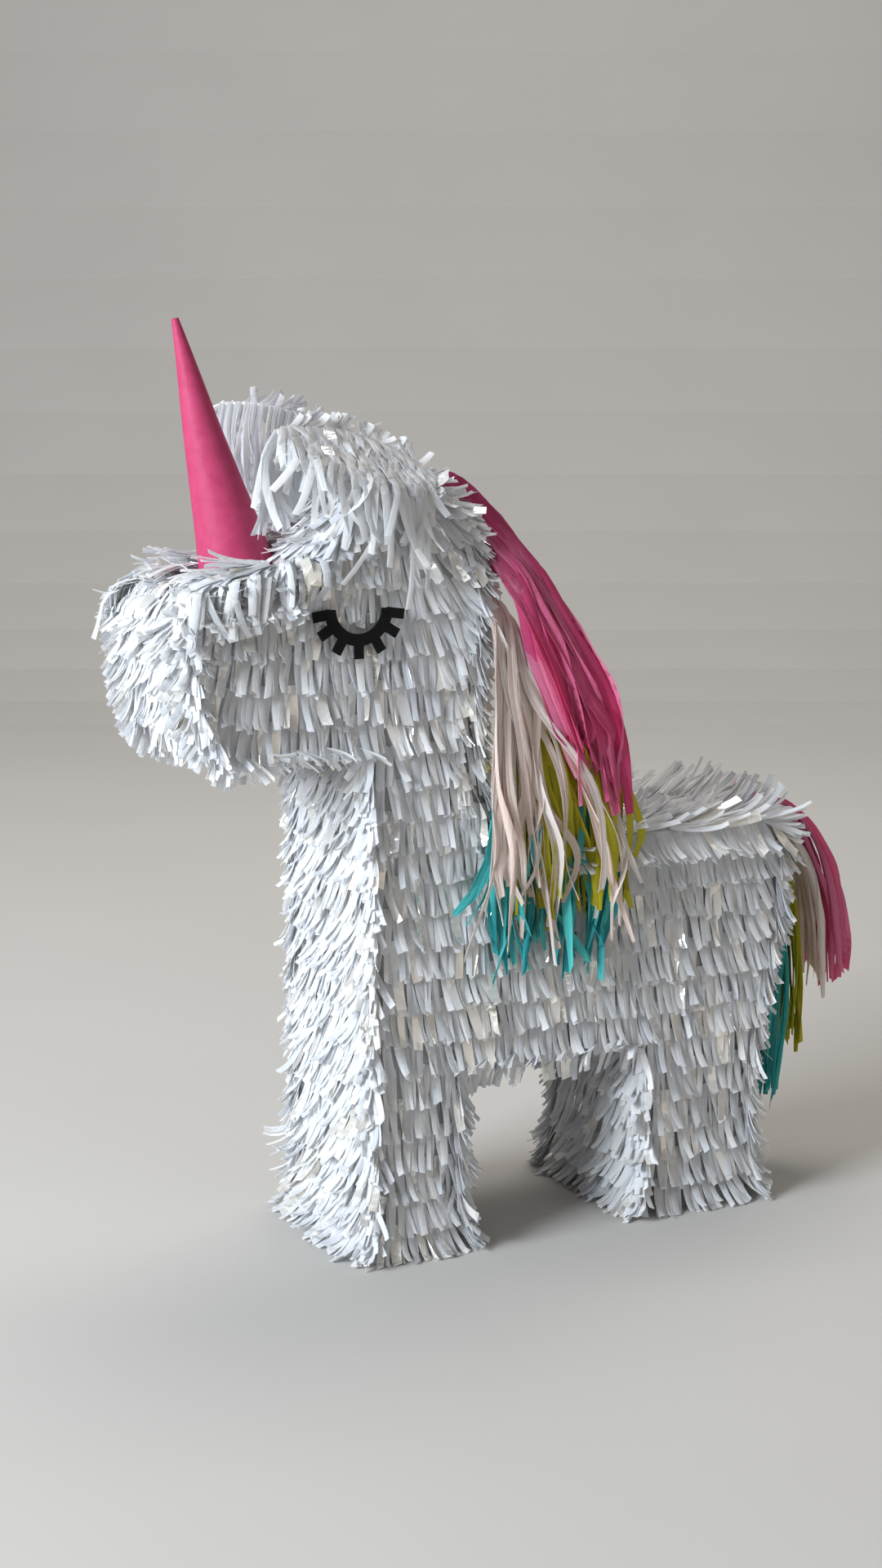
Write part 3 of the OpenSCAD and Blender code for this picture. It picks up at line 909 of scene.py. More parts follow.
@dataclass
class Body:
    """Sizes of the card box and of what stands on it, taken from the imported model."""

    horn_lean: float = 14.0
    horn_reach: float = 160 * MM
    horn_peak: float = 176 * MM
    horn_r: float = 24.5 * MM
    left_limit: float = -97 * MM
    right_limit: float = 86 * MM

    def __post_init__(self) -> None:
        """Read the sizes."""
        self.half = -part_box("left_panel")[0].y
        self.skin = -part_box("fringe_left")[0].y
        self.outline = Silhouette()
        flap_low, flap_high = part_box("fill_flap")
        self.flap_x = (flap_low.x, flap_high.x)
        self.flap_y = flap_high.y
        self.back_z = flap_high.z
        low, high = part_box("hang_eyelet")
        self.eyelet = np.array([(low.x + high.x) / 2, 0.0])
        self.eyelet_r = (high.x - low.x) / 2
        low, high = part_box("left_eye")
        self.eye_low, self.eye_high = np.array(low), np.array(high)
        self.horn_foot = np.array([-94.0 * MM, 0.0, 442.7 * MM])

    def horn_frame(self, p: Array) -> tuple[Array, Array, Array]:
        """Height along the horn's axis, and distance and direction away from that axis.

        Args:
            p: Points, ... x 3.

        Returns:
            Heights, distances and unit directions.
        """
        lean = np.radians(self.horn_lean)
        axis = np.array([-np.sin(lean), 0.0, np.cos(lean)])
        rel = p - self.horn_foot
        high = rel @ axis
        away = rel - high[..., None] * axis
        return high, np.linalg.norm(away, axis=-1), unit(away)

    def clear(self, line: Array) -> Array:
        """Keep centrelines out of the horn, behind the eyes and off the floor.

        Within the horn's reach a point moves straight away from its axis until it is outside the cone. Near
        an eye the distance d out from the side panel becomes c tanh(d / c), where c is the room behind the
        eye's card, and far from the middle the same rule keeps every tip within the object's width.

        Args:
            line: Centrelines, N x K x 3.

        Returns:
            The cleared centrelines.
        """
        high, far, away = self.horn_frame(line)
        cone = self.horn_r * np.clip(1 - high / self.horn_peak, 0, 1) + 3.2 * MM
        push = np.where((high > -10 * MM) & (high < self.horn_reach) & (far < cone), cone - far, 0.0)
        line = line + push[..., None] * away
        x, y, z = line[..., 0], line[..., 1], line[..., 2]
        near = ((x > self.eye_low[0] - 6 * MM) & (x < self.eye_high[0] + 5 * MM)
                & (z > self.eye_low[2] - 5 * MM) & (z < self.eye_high[2] + 12 * MM))
        room = self.skin - self.half - 1.1 * MM
        d = np.abs(y) - self.half
        pressed = self.half + room * np.tanh(np.maximum(d, 0) / room)
        y = np.where(near & (d > 0), np.sign(y) * pressed, y)
        side, wide, give = np.abs(y), self.half + 19 * MM, 9 * MM
        y = np.where(side > wide, np.sign(y) * (wide + give * np.tanh((side - wide) / give)), y)
        return np.stack([x, y, np.maximum(z, 0.7 * MM)], -1)


@dataclass
class Lining:
    """Plain tissue glued flat on the card, under the strips: one sheet a side and bands round the edge."""

    body: Body
    paints: Paints
    low: float = 0.15 * MM
    high: float = 0.55 * MM
    tone: float = 0.4
    step: float = 5 * MM

    def side(self, name: str, sign: float) -> None:
        """Cover a side panel: the outline at two depths, joined by a rim.

        Args:
            name: Name of the piece.
            sign: -1 for the left side, 1 for the right.
        """
        loop = self.body.outline.loop
        n = len(loop)
        depths = [sign * (self.body.half + d) for d in (self.low, self.high)]
        points = np.concatenate([upright(loop, y) for y in depths])
        inner = np.arange(n)[:: int(-sign)].tolist()
        outer = (np.arange(n)[:: int(sign)] + n).tolist()
        i = np.arange(n)
        rim = np.stack([i, (i + 1) % n, (i + 1) % n + n, i + n], -1)[:, :: int(sign)].tolist()
        mesh = bpy.data.meshes.new(name)
        mesh.from_pydata(points.tolist(), [], [inner, outer, *rim])
        weave = np.stack([points[:, 0], points[:, 2], np.full(2 * n, self.tone)], -1)
        obj = dressed(mesh, weave, self.paints.made[Slot.WHITE_TISSUE])
        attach(obj, "root")

    def band(self, buffer: MeshBuffer, path: EdgePath, s: tuple[float, float],
             y: tuple[float, float]) -> None:
        """Add a band that follows the edge between two distances and two widths.

        Args:
            buffer: Where it goes.
            path: Edge to follow.
            s: First and last distance along the edge.
            y: First and last place across.
        """
        rows = np.linspace(*s, max(2, int((s[1] - s[0]) / self.step)))
        point, _, normal = path.at(rows, 1 * MM)
        across = np.array(y if path.flow > 0 else y[::-1])
        grids = []
        for depth in (self.high, self.low):
            flat = point + normal * depth
            grids.append(np.stack([upright(flat, y) for y in across], 1))
        closed_slab(buffer, grids[0], grids[1])

    def build(self, runs: dict[str, EdgePath]) -> None:
        """Make the lining of the fixed box.

        Args:
            runs: Edge stretches by the name of the CAD fringe node.
        """
        self.side("lining_left", -1)
        self.side("lining_right", 1)
        half = self.body.half - 0.2 * MM
        wrap = MeshBuffer()
        for name, path in runs.items():
            if name != "fringe_back":
                self.band(wrap, path, (0.0, path.length), (-half, half))
        back = runs["fringe_back"]
        x0 = back.corners[0, 0]
        x, r, w = self.body.eyelet[0], self.body.eyelet_r + 1 * MM, self.body.flap_y + 1 * MM
        f0, f1 = self.body.flap_x
        hole, opening = (x - r, x + r), (f0 - 1 * MM, f1 + 3 * MM)
        for s, y in [((x0, hole[0]), (-half, half)), (hole, (-half, -r)), (hole, (r, half)),
                     ((hole[1], opening[0]), (-half, half)), (opening, (-half, -w)), (opening, (w, half)),
                     ((opening[1], x0 + back.length), (-half, half))]:
            self.band(wrap, back, (s[0] - x0, s[1] - x0), y)
        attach(wrap.piece("lining_edges", self.paints.made[Slot.WHITE_TISSUE], Slot.WHITE_TISSUE), "root")
        sheet, inner = MeshBuffer(), self.body.flap_y - 1 * MM
        self.band(sheet, back, (f0 + 1 * MM - x0, f1 - 1 * MM - x0), (-inner, inner))
        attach(sheet.piece("lining_flap", self.paints.made[Slot.WHITE_TISSUE], Slot.WHITE_TISSUE), "flap")


# ---- Fringe ----


@dataclass
class Fringe:
    """Rows of cut tissue over the whole box, with film strips among them."""

    body: Body
    paints: Paints
    pitch: float = 21 * MM
    spacing: float = 2.6 * MM
    root_height: float = 0.9 * MM
    film_share: float = 0.09
    flare: float = 72 * MM
    front_leg_x: float = 0 * MM
    rear_leg_x: float = 214 * MM
    leg_half: float = 42 * MM
    sweep_snout: float = 24.0
    sweep_nape: float = 38.0
    sweep_rump: float = 14.0
    flap_reach: float = 24 * MM
    side_film: float = 0.13
    film_width: float = 1.5
    seed: int = 7
    film: dict[str, MeshBuffer] = field(default_factory=dict)

    # Name: points in X-Z near the first and the last corner, in mm, and which way round the paper runs.
    RUNS = {
        "fringe_chest": ((-31, 0), (-31, 340), -1),
        "fringe_jaw": ((-31, 340), (-113, 340), -1),
        "fringe_snout": ((-113, 340), (-146, 430), -1),
        "fringe_bridge": ((-146, 430), (-65, 450), -1),
        "fringe_brow": ((-65, 450), (-38, 495), -1),
        "fringe_poll": ((-10, 503), (43, 345), 1),
        "fringe_neck": ((43, 345), (108, 268), 1),
        "fringe_back": ((108, 268), (266, 268), 1),
        "fringe_rump": ((266, 268), (257, 0), 1),
        "fringe_rear_leg": ((171, 0), (171, 118), -1),
        "fringe_belly": ((171, 118), (41, 128), 1),
        "fringe_front_leg": ((31, 118), (31, 0), 1),
    }

    # Name: mean length in mm, mean lift at the root and mean lift at the tip in degrees.
    HABIT = {
        "fringe_chest": (30, 11, 36),
        "fringe_jaw": (24, 30, 46),
        "fringe_snout": (29, 12, 36),
        "fringe_bridge": (34, 9, 22),
        "fringe_brow": (32, 15, 40),
        "poll_front": (34, 18, 42),
        "fringe_poll": (31, 12, 32),
        "fringe_neck": (28, 9, 27),
        "fringe_back": (37, 19, 40),
        "fringe_rump": (29, 9, 29),
        "fringe_rear_leg": (28, 8, 28),
        "fringe_belly": (24, 32, 46),
        "fringe_front_leg": (28, 8, 28),
    }

    TOPS = ("fringe_poll", "poll_front", "fringe_brow", "fringe_bridge", "fringe_snout", "fringe_neck",
            "fringe_back")
    INSETS = (1.5, 14.0)

    ROUNDED = ("fringe_chest", "fringe_snout", "fringe_bridge", "fringe_brow", "poll_front", "fringe_poll",
               "fringe_neck", "fringe_rump", "fringe_rear_leg", "fringe_front_leg")

    def __post_init__(self) -> None:
        """Lay out the edge stretches."""
        self.rng = np.random.default_rng(self.seed)
        self.runs = {name: self.body.outline.stretch(a, b, flow) for name, (a, b, flow) in self.RUNS.items()}
        self.poll_front = self.body.outline.stretch((-38, 495), (-10, 503), -1)

    def finish(self, name: str, strips: Strips, node: str | None = None, body: str = "root",
               film: float | None = None, lines: Array | None = None) -> None:
        """Turn strips into a tissue piece, and put a share of them aside as film.

        Args:
            name: Name of the piece.
            strips: The strips.
            node: CAD node that the piece replaces.
            body: CAD body it rides on.
            film: Share of film strips; the usual one if None.
            lines: Final centrelines; the strips' own, cleared, if None.
        """
        if lines is None:
            lines = self.body.clear(strips.line())
        lines[..., 1] = np.clip(lines[..., 1], self.body.left_limit, self.body.right_limit)
        share = self.film_share if film is None else film
        shiny = self.rng.random(len(strips.root)) < share
        tissue = MeshBuffer()
        strips.pick(~shiny).lay(tissue, lines[~shiny], self.rng)
        obj = tissue.piece(name, self.paints.made[Slot.WHITE_TISSUE], Slot.WHITE_TISSUE)
        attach(obj, body)
        if node:
            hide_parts(node)
        if shiny.any():
            strips.width[shiny] *= self.film_width
            strips.twist[shiny] += self.rng.normal(0, 0.5, shiny.sum())
            strips.pick(shiny).lay(self.film.setdefault(body, MeshBuffer()), lines[shiny], self.rng)

    def film_pieces(self) -> None:
        """Make one film piece for each body that has film strips."""
        for body, buffer in self.film.items():
            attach(buffer.piece(f"film_{body}", self.paints.made[Slot.FILM], Slot.FILM), body)

    def path(self, name: str) -> EdgePath:
        """The edge stretch of a given name."""
        return self.poll_front if name == "poll_front" else self.runs[name]

    def foot(self, z: Array) -> Array:
        """How much a strip flares out near the floor: 1 at the floor, easing to 0 at the flare's height."""
        return ease(1 - z / self.flare)

    # -- sides --

    def flow(self, x: Array, z: Array) -> Array:
        """Way that the paper hangs on a side, in X-Z.

        Straight down on the body; swept forward by up to 24 degrees at the front of the snout, and back by up
        to 38 degrees behind the eye and 14 at the rump.

        Args:
            x: Places along the length.
            z: Heights.

        Returns:
            Unit directions, N x 2.
        """
        head = ease((z - 0.325) / 0.04)
        forward = self.sweep_snout * ease((-0.06 - x) / 0.09) * head
        back = -self.sweep_nape * ease((x + 0.022) / 0.05) * ease((z - 0.385) / 0.07)
        rump = -self.sweep_rump * ease((x - 0.235) / 0.04) * ease((z - 0.12) / 0.06)
        angle = np.radians(forward + back + rump)
        return np.stack([-np.sin(angle), -np.cos(angle)], -1)

    def side_roots(self) -> tuple[Array, Array]:
        """Roots of a side's rows: level rows up the body, and one row that follows the outline along the top.

        Returns:
            Roots in X-Z, and their row numbers.
        """
        low, high = self.body.outline.loop.min(0), self.body.outline.loop.max(0)
        heights = np.arange(23 * MM, high[1], self.pitch)
        xs = np.arange(low[0], high[0], self.spacing)
        row, col = rows_by_places(len(heights), len(xs))
        jitter = self.rng.normal(0, 1, (len(row), 2)) * [1.2 * MM, 0.5 * MM]
        p = np.stack([xs[col], heights[row]], -1) + jitter
        keep = self.body.outline.inside(p)
        rim, number = [], []
        for k, (name, inset) in enumerate((n, d) for n in self.TOPS for d in self.INSETS):
            path = self.path(name)
            s = np.arange(0, path.length, self.spacing)
            point, _, normal = path.at(s)
            rim.append(point - normal * inset * MM)
            number.append(np.full(len(s), len(heights) + k))
        rim, number = np.concatenate(rim), np.concatenate(number)
        ok = self.body.outline.inside(rim)
        return np.concatenate([p[keep], rim[ok]]), np.concatenate([row[keep], number[ok]])

    def side(self, sign: int) -> None:
        """Cover one side.

        Args:
            sign: -1 for the left side, 1 for the right.
        """
        p, row = self.side_roots()
        gap, edge = self.body.outline.nearest(p)
        hang = self.flow(p[:, 0], p[:, 1])
        near = ease(1 - gap / (13 * MM))
        down2 = unit(hang + 0.45 * near[:, None] * edge * (edge[:, 1:] < 0.5))
        foot = self.foot(p[:, 1])
        front = p[:, 0] < (self.front_leg_x + self.rear_leg_x) / 2
        centre = np.where(front, self.front_leg_x, self.rear_leg_x)
        splay = (p[:, 0] - centre) / self.leg_half * foot
        down2 = unit(down2 + 0.8 * splay[:, None] * [1.0, 0.0])
        out = unit(upright(0.62 * near[:, None] * edge, float(sign)))
        root = upright(p, sign * (self.body.half + self.root_height))
        strips = Strips.cut(self.rng, root, upright(down2, 0.0), out, row, p[:, 0] + 0.2, length=28 * MM,
                            lift=5.5, curl=22, lean=4.5, bend=8.0, ragged=0.05)
        muzzle = ease((-0.078 - p[:, 0]) / 0.04) * (p[:, 1] > 0.33)
        strips.curl = strips.curl + np.radians(36) * foot + np.radians(15) * muzzle
        strips.lift = strips.lift + np.radians(17) * foot + np.radians(7) * muzzle
        upper = row > row.max() - len(self.TOPS) * len(self.INSETS)
        strips.length = np.where(upper, strips.length * 0.95, strips.length)
        keep = p[:, 1] > 20 * MM
        self.finish("tissue_left" if sign < 0 else "tissue_right", strips.pick(keep),
                    "fringe_left" if sign < 0 else "fringe_right", film=self.side_film)

    # -- edges --

    def edge(self, name: str, node: str | None = None, rows_back: float = 0.55, layers: int = 1) -> None:
        """Cover one stretch of the edge with rows from side to side.

        Near the two sides the way out turns by up to 45 degrees towards the side.

        Args:
            name: Name of the stretch.
            node: CAD node that the rows replace.
            rows_back: Distance of the last row from the stretch's end, in pitches.
            layers: Rows on rows, each layer half a pitch back and 6 mm further out.
        """
        path = self.path(name)
        floor = path.corners[-1, 1] < 1 * MM
        last = path.length - (22 * MM if floor else rows_back * self.pitch)
        rows = last - np.arange(int(last / self.pitch) + 1) * self.pitch
        if rows[-1] > 9 * MM:
            rows = np.append(rows, 1.5 * MM)
        layer = np.repeat(np.arange(layers), len(rows))
        rows = np.tile(rows, layers) - 0.5 * self.pitch * layer
        laid = rows > 0.6 * self.pitch * layer
        rows, layer = rows[laid], layer[laid]
        half = self.body.half
        across = np.arange(-half - 2 * MM, half + 2 * MM, self.spacing)
        row, col = rows_by_places(len(rows), len(across))
        n = len(row)
        s = rows[row] + self.rng.normal(0, 0.9 * MM, n)
        y = across[col] + self.rng.normal(0, 1.2 * MM, n)
        point, ahead, normal = path.at(s)
        corner = ease((np.abs(y) - half + 11 * MM) / (12 * MM)) * np.sign(y)
        out = unit(upright(normal, 0.9 * corner))
        down = unit(upright(ahead, 0.42 * corner))
        y = np.clip(y, -half - self.root_height, half + self.root_height)
        root = upright(point + normal * (self.root_height + 6 * MM * layer[row])[:, None], y)
        length, lift, curl = self.HABIT[name]
        strips = Strips.cut(self.rng, root, down, out, row, y + 0.1, length * MM, lift, curl, lean=8.0,
                            bend=13.0)
        foot = self.foot(point[:, 1])
        if name == "fringe_chest":
            foot = np.maximum(foot, ease(1 - np.abs(point[:, 1] - 62 * MM) / (34 * MM)) * ease(y / half))
        far = ease((y + half) / (2 * half)) if name == "fringe_back" else 0.0
        strips.lift = strips.lift + np.radians(27 * foot + 12 * far)
        strips.curl = strips.curl + np.radians(44 * foot)
        if name == "fringe_bridge":
            front = ease((-0.112 - root[:, 0]) / (14 * MM))
            strips.curl = strips.curl * (1 - front) - np.radians(62) * front
            strips.length = strips.length * (1 - 0.15 * front)
        keep = self.allowed(strips)
        self.finish(f"tissue_{name.removeprefix('fringe_')}", strips.pick(keep), node)

    def corners(self, names: tuple[str, ...]) -> None:
        """Soften the box's long corners with strips that face out between the side and the edge.

        A strip's way out is cos q along the edge's normal and sin q towards the side, with q spread evenly
        from 12 to 78 degrees, so that the strips turn the corner together.

        Args:
            names: Stretches whose corners get them.
        """
        roots, downs, outs = [], [], []
        for name in names:
            path = self.path(name)
            floor = path.corners[-1, 1] < 1 * MM
            end = path.length - (21 * MM if floor else 4 * MM)
            for sign in (-1.0, 1.0):
                s = np.arange(0, end, 1.15 * MM)
                s = s + self.rng.uniform(-1, 1, len(s)) * MM
                point, ahead, normal = path.at(s)
                q = np.radians(self.rng.uniform(12, 78, len(s)))
                out = upright(normal * np.cos(q)[:, None], sign * np.sin(q))
                fall = 0.8 * np.maximum(normal[:, 1], 0)
                downs.append(upright(ahead - fall[:, None] * [0.0, 1.0], 0.0))
                roots.append(upright(point, sign * self.body.half) + out * 0.6 * MM)
                outs.append(out)
        root, down, out = np.concatenate(roots), np.concatenate(downs), np.concatenate(outs)
        n = len(root)
        strips = Strips.cut(self.rng, root, down, out, np.zeros(n, int), np.arange(n) * 1.2 * MM,
                            length=28 * MM, lift=6, curl=27, lean=9.0, bend=13.0)
        foot = self.foot(root[:, 2])
        strips.lift = strips.lift + np.radians(24) * foot
        strips.curl = strips.curl + np.radians(40) * foot
        self.finish("tissue_corners", strips.pick(self.allowed(strips)))

    def ridge(self) -> None:
        """Turn paper over the snout's upper edges: strips that leave sideways and forwards, and then hang."""
        path = self.runs["fringe_bridge"]
        s = np.tile(np.repeat(np.arange(-3 * MM, path.length, 1.7 * MM), 2), 2)
        n = len(s)
        s = s + self.rng.uniform(-1, 1, n) * MM
        sign = np.repeat([-1.0, 1.0], n // 2)
        point, ahead, normal = path.at(s)
        point = point + normal * (self.rng.uniform(4, 11, n) * MM)[:, None]
        root = upright(point, sign * (self.body.half - self.rng.uniform(-1, 15, n) * MM))
        down, out = upright(0.6 * ahead, 0.8 * sign), upright(normal, 0.0)
        strips = Strips.cut(self.rng, root, down, out, np.zeros(n, int), s, 44 * MM, 2, 10, lean=16.0)
        lines = self.body.clear(strips.fall(self.rng, 24 * MM, 0.7))
        self.finish("tissue_ridge", strips, lines=lines)

    def allowed(self, strips: Strips) -> Array:
        """Leave out strips that would root on another part, and lay those round the flap clear of it.

        The parts are the flap, the eyelet, the horn, the tail's anchor and the mane's crest. Strips just in
        front of the flap stop short of it, and those just behind it lie flat.

        Args:
            strips: The strips.

        Returns:
            True for each strip that stays.
        """
        x, y, z = strips.root.T
        f0, f1 = self.body.flap_x
        wide = self.body.flap_y + 3 * MM
        on_back = z > self.body.back_z - 2 * MM
        low_back = on_back & (z < self.body.back_z + 20 * MM)
        in_flap = low_back & (x > f0 - 4 * MM) & (x < f1 + 6 * MM) & (np.abs(y) < wide)
        eyelet = low_back & (np.hypot(x - self.body.eyelet[0], y) < self.body.eyelet_r + 2.5 * MM)
        _, far, _ = self.body.horn_frame(strips.root)
        horn = (far < self.body.horn_r + 1 * MM) & (z > 0.42)
        low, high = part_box("tail_anchor")
        anchor = (x > low.x - 16 * MM) & (np.abs(y) < high.y + 6 * MM) & (z > low.z - 9 * MM)
        crest = (x > -12 * MM) & (z > 0.372) & (np.abs(y) < 8 * MM) & (strips.out[:, 0] > 0.2)
        before = low_back & (x > f0 - self.flap_reach) & (x <= f0 - 2.5 * MM) & (np.abs(y) < wide)
        strips.length = np.where(before, np.maximum(f0 - x - 1 * MM, 4 * MM), strips.length)
        strips.lift = np.where(before, strips.lift + np.radians(20), strips.lift)
        behind = low_back & (x > f1) & (x < f1 + self.flap_reach) & (np.abs(y) < wide)
        strips.lift = np.where(behind, 0.05, strips.lift)
        strips.curl = np.where(behind, 0.15, strips.curl)
        beside = low_back & (x > f0 - 40 * MM) & (x < f1) & (np.abs(y) < wide + 12 * MM)
        strips.down[beside, 1] = np.sign(y[beside]) * np.abs(strips.down[beside, 1])
        return ~(in_flap | eyelet | horn | anchor | crest)

    def flap(self) -> None:
        """Cover the filling flap with its own rows, kept inside its own edges."""
        f0, f1 = self.body.flap_x
        rows = np.arange(f0 + 4 * MM, f1 - 14 * MM, self.pitch * 0.9)
        across = np.arange(-self.body.flap_y + 3 * MM, self.body.flap_y - 3 * MM, self.spacing)
        row, col = rows_by_places(len(rows), len(across))
        n = len(row)
        x = rows[row] + self.rng.normal(0, 0.9 * MM, n)
        y = across[col]
        root = np.stack([x, y, np.full(n, self.body.back_z + self.root_height)], -1)
        down, out = np.tile([1.0, 0, 0], (n, 1)), np.tile([0, 0, 1.0], (n, 1))
        strips = Strips.cut(self.rng, root, down, out, row, y + 0.1)
        room = ease((f1 - x) / (60 * MM))
        strips.lift = np.radians(self.rng.uniform(5, 30, n) * room)
        strips.curl = strips.lift + np.radians(14 * room)
        strips.length = np.minimum(strips.length * 1.1, f1 - x - 2.5 * MM)
        lines = strips.line()
        lines[..., 1] = np.clip(lines[..., 1], -self.body.flap_y + 3 * MM, self.body.flap_y - 3 * MM)
        self.finish("tissue_flap", strips, "fringe_flap", "flap", lines=lines)

    def build(self) -> None:
        """Cover the whole box."""
        self.side(-1)
        self.side(1)
        for name in self.runs:
            self.edge(name, name, layers={"fringe_bridge": 3, "fringe_brow": 2}.get(name, 1))
        self.edge("poll_front", layers=2)
        self.corners(self.ROUNDED)
        self.ridge()
        self.flap()


@dataclass
class Leaf:
    """One ear's card leaf on the head, with the ways along it, across it and out of its upper face."""

    name: str
    side: int
    foot: Array
    tip_way: Array
    outer: Array
    up: Array
    rng: np.random.Generator

    def points(self, u: Array, v: Array, high: float) -> Array:
        """Points over the leaf.

        Args:
            u: Distances from the foot towards the tip.
            v: Distances from the middle towards the outer edge.
            high: Height over the card, in mm.

        Returns:
            Points, N x 3.
        """
        return self.foot + u[:, None] * self.tip_way + v[:, None] * self.outer + self.up * high * MM


@dataclass
class Ears:
    """Tissue on the two card ears: short strips on top, and long ones that hang from the outer edge."""

    body: Body
    fringe: Fringe
    length: float = 104 * MM
    width: float = 46 * MM
    roll: float = 32.0
    film: float = 0.03
    tuft_count: int = 34
    seed: int = 23

    def leaf(self, name: str, side: int, pitch: float) -> Leaf:
        """Stand an ear's leaf on the head: rolled outwards about its length, and then pitched up.

        Args:
            name: Name of the ear's tissue.
            side: -1 for the left ear, 1 for the right.
            pitch: How steeply the ear points up, in degrees.

        Returns:
            The leaf.
        """
        p, r = np.radians(pitch), np.radians(-side * self.roll)
        turn_y = np.array([[np.cos(p), 0, np.sin(p)], [0, 1, 0], [-np.sin(p), 0, np.cos(p)]])
        turn_x = np.array([[1, 0, 0], [0, np.cos(r), -np.sin(r)], [0, np.sin(r), np.cos(r)]])
        ways = (turn_y @ turn_x).T
        foot = np.array([12 * MM, side * (self.body.half - 5 * MM), 508 * MM])
        rng = np.random.default_rng(self.seed + side)
        return Leaf(name, side, foot, -ways[0], ways[1] * side, ways[2], rng)

    def half_width(self, u: Array) -> Array:
        """Half width of the leaf at a distance from its foot: two equal arcs that meet at foot and tip."""
        r = (self.length**2 + self.width**2) / (4 * self.width)
        return np.sqrt(r * r - (u - self.length / 2) ** 2) - (r - self.width / 2)

    def cover(self, leaf: Leaf, node: str) -> None:
        """Cover the upper face of an ear.

        A strip starts along the leaf towards its outer edge and then turns to straight down.

        Args:
            leaf: The ear.
            node: CAD node that the tissue replaces.
        """
        rng, left = leaf.rng, leaf.side < 0
        levels = np.array([-0.92, -0.45, 0.05, 0.5, 0.94])
        us = np.arange(3 * MM, self.length - 3 * MM, 2.7 * MM)
        row, col = rows_by_places(len(levels), len(us))
        n = len(row)
        u = np.clip(us[col] + rng.normal(0, 1.2 * MM, n), 2 * MM, self.length - 2 * MM)
        root = leaf.points(u, levels[row] * self.half_width(u), 2.6)
        hang = row == len(levels) - 1
        long = 30 * MM * np.ones(n)
        back = ease(1 - u / self.length)
        if left:
            long = np.where(hang, (38 + 44 * back) * MM, long)
            long = np.where(row == len(levels) - 2, (34 + 18 * back) * MM, long)
        else:
            long = np.where(hang, 46 * MM, long)
        down = np.broadcast_to(leaf.outer * 0.95 + leaf.tip_way * (0.12 if left else 0.3), (n, 3))
        lift, curl = (5, 20) if left else (2, 8)
        out = np.broadcast_to(leaf.up, (n, 3))
        strips = Strips.cut(rng, root, down, out, row, u, lean=13, lift=lift, curl=curl)
        strips.length = long * rng.uniform(0.7, 1.2, n)
        strips.rings, strips.power = 8, 0.8
        self.fringe.finish(leaf.name, strips, node, lines=strips.fall(rng), film=self.film)

    def drape(self, leaf: Leaf, start: float) -> None:
        """Hang strips from an ear's upper edge, down its inner face.

        Args:
            leaf: The ear.
            start: Where along the ear they begin, as a share.
        """
        rng = leaf.rng
        u = np.repeat(np.arange(start * self.length, self.length, 2.4 * MM), 2)
        n = len(u)
        u = np.clip(u + rng.normal(0, 1 * MM, n), 2 * MM, self.length - 1 * MM)
        root = leaf.points(u, -self.half_width(u), 1)
        begin = np.tile(unit(-leaf.outer * 0.3 + leaf.tip_way * 0.3 - np.array([0, 0, 0.75])), (n, 1))
        out = np.broadcast_to(-leaf.outer, (n, 3))
        strips = Strips.cut(rng, root, begin, out, np.zeros(n, int), u, lean=8)
        strips.down = begin
        strips.lift = np.zeros(n)
        strips.length = (36 + 26 * ease(u / self.length)) * MM * rng.uniform(0.75, 1.15, n)
        strips.rings = 8
        self.fringe.finish(f"{leaf.name}_drape", strips, lines=strips.fall(rng, loose=0.6), film=self.film)

    def tufts(self, leaf: Leaf) -> None:
        """Stand short curls up along an ear's upper edge.

        Args:
            leaf: The ear.
        """
        rng, n = leaf.rng, self.tuft_count
        u = rng.uniform(0.04, 0.9, n) * self.length
        root = leaf.points(u, -(self.half_width(u) - 1.5 * MM), 2.4)
        way = unit(-leaf.outer + leaf.tip_way * rng.normal(-0.3, 0.9, n)[:, None])
        out = np.broadcast_to(leaf.up, (n, 3))
        strips = Strips.cut(rng, root, way, out, np.zeros(n, int), u, 12 * MM, 10, 42)
        self.fringe.finish(f"{leaf.name}_tufts", strips, film=0.0)

    def build(self) -> None:
        """Cover both ears."""
        for side, word, pitch, start in ((-1, "left", 14.0, 0.4), (1, "right", 23.0, 0.04)):
            leaf = self.leaf(f"tissue_{word}_ear", side, pitch)
            self.cover(leaf, f"fringe_{word}_ear")
            self.drape(leaf, start)
            self.tufts(leaf)


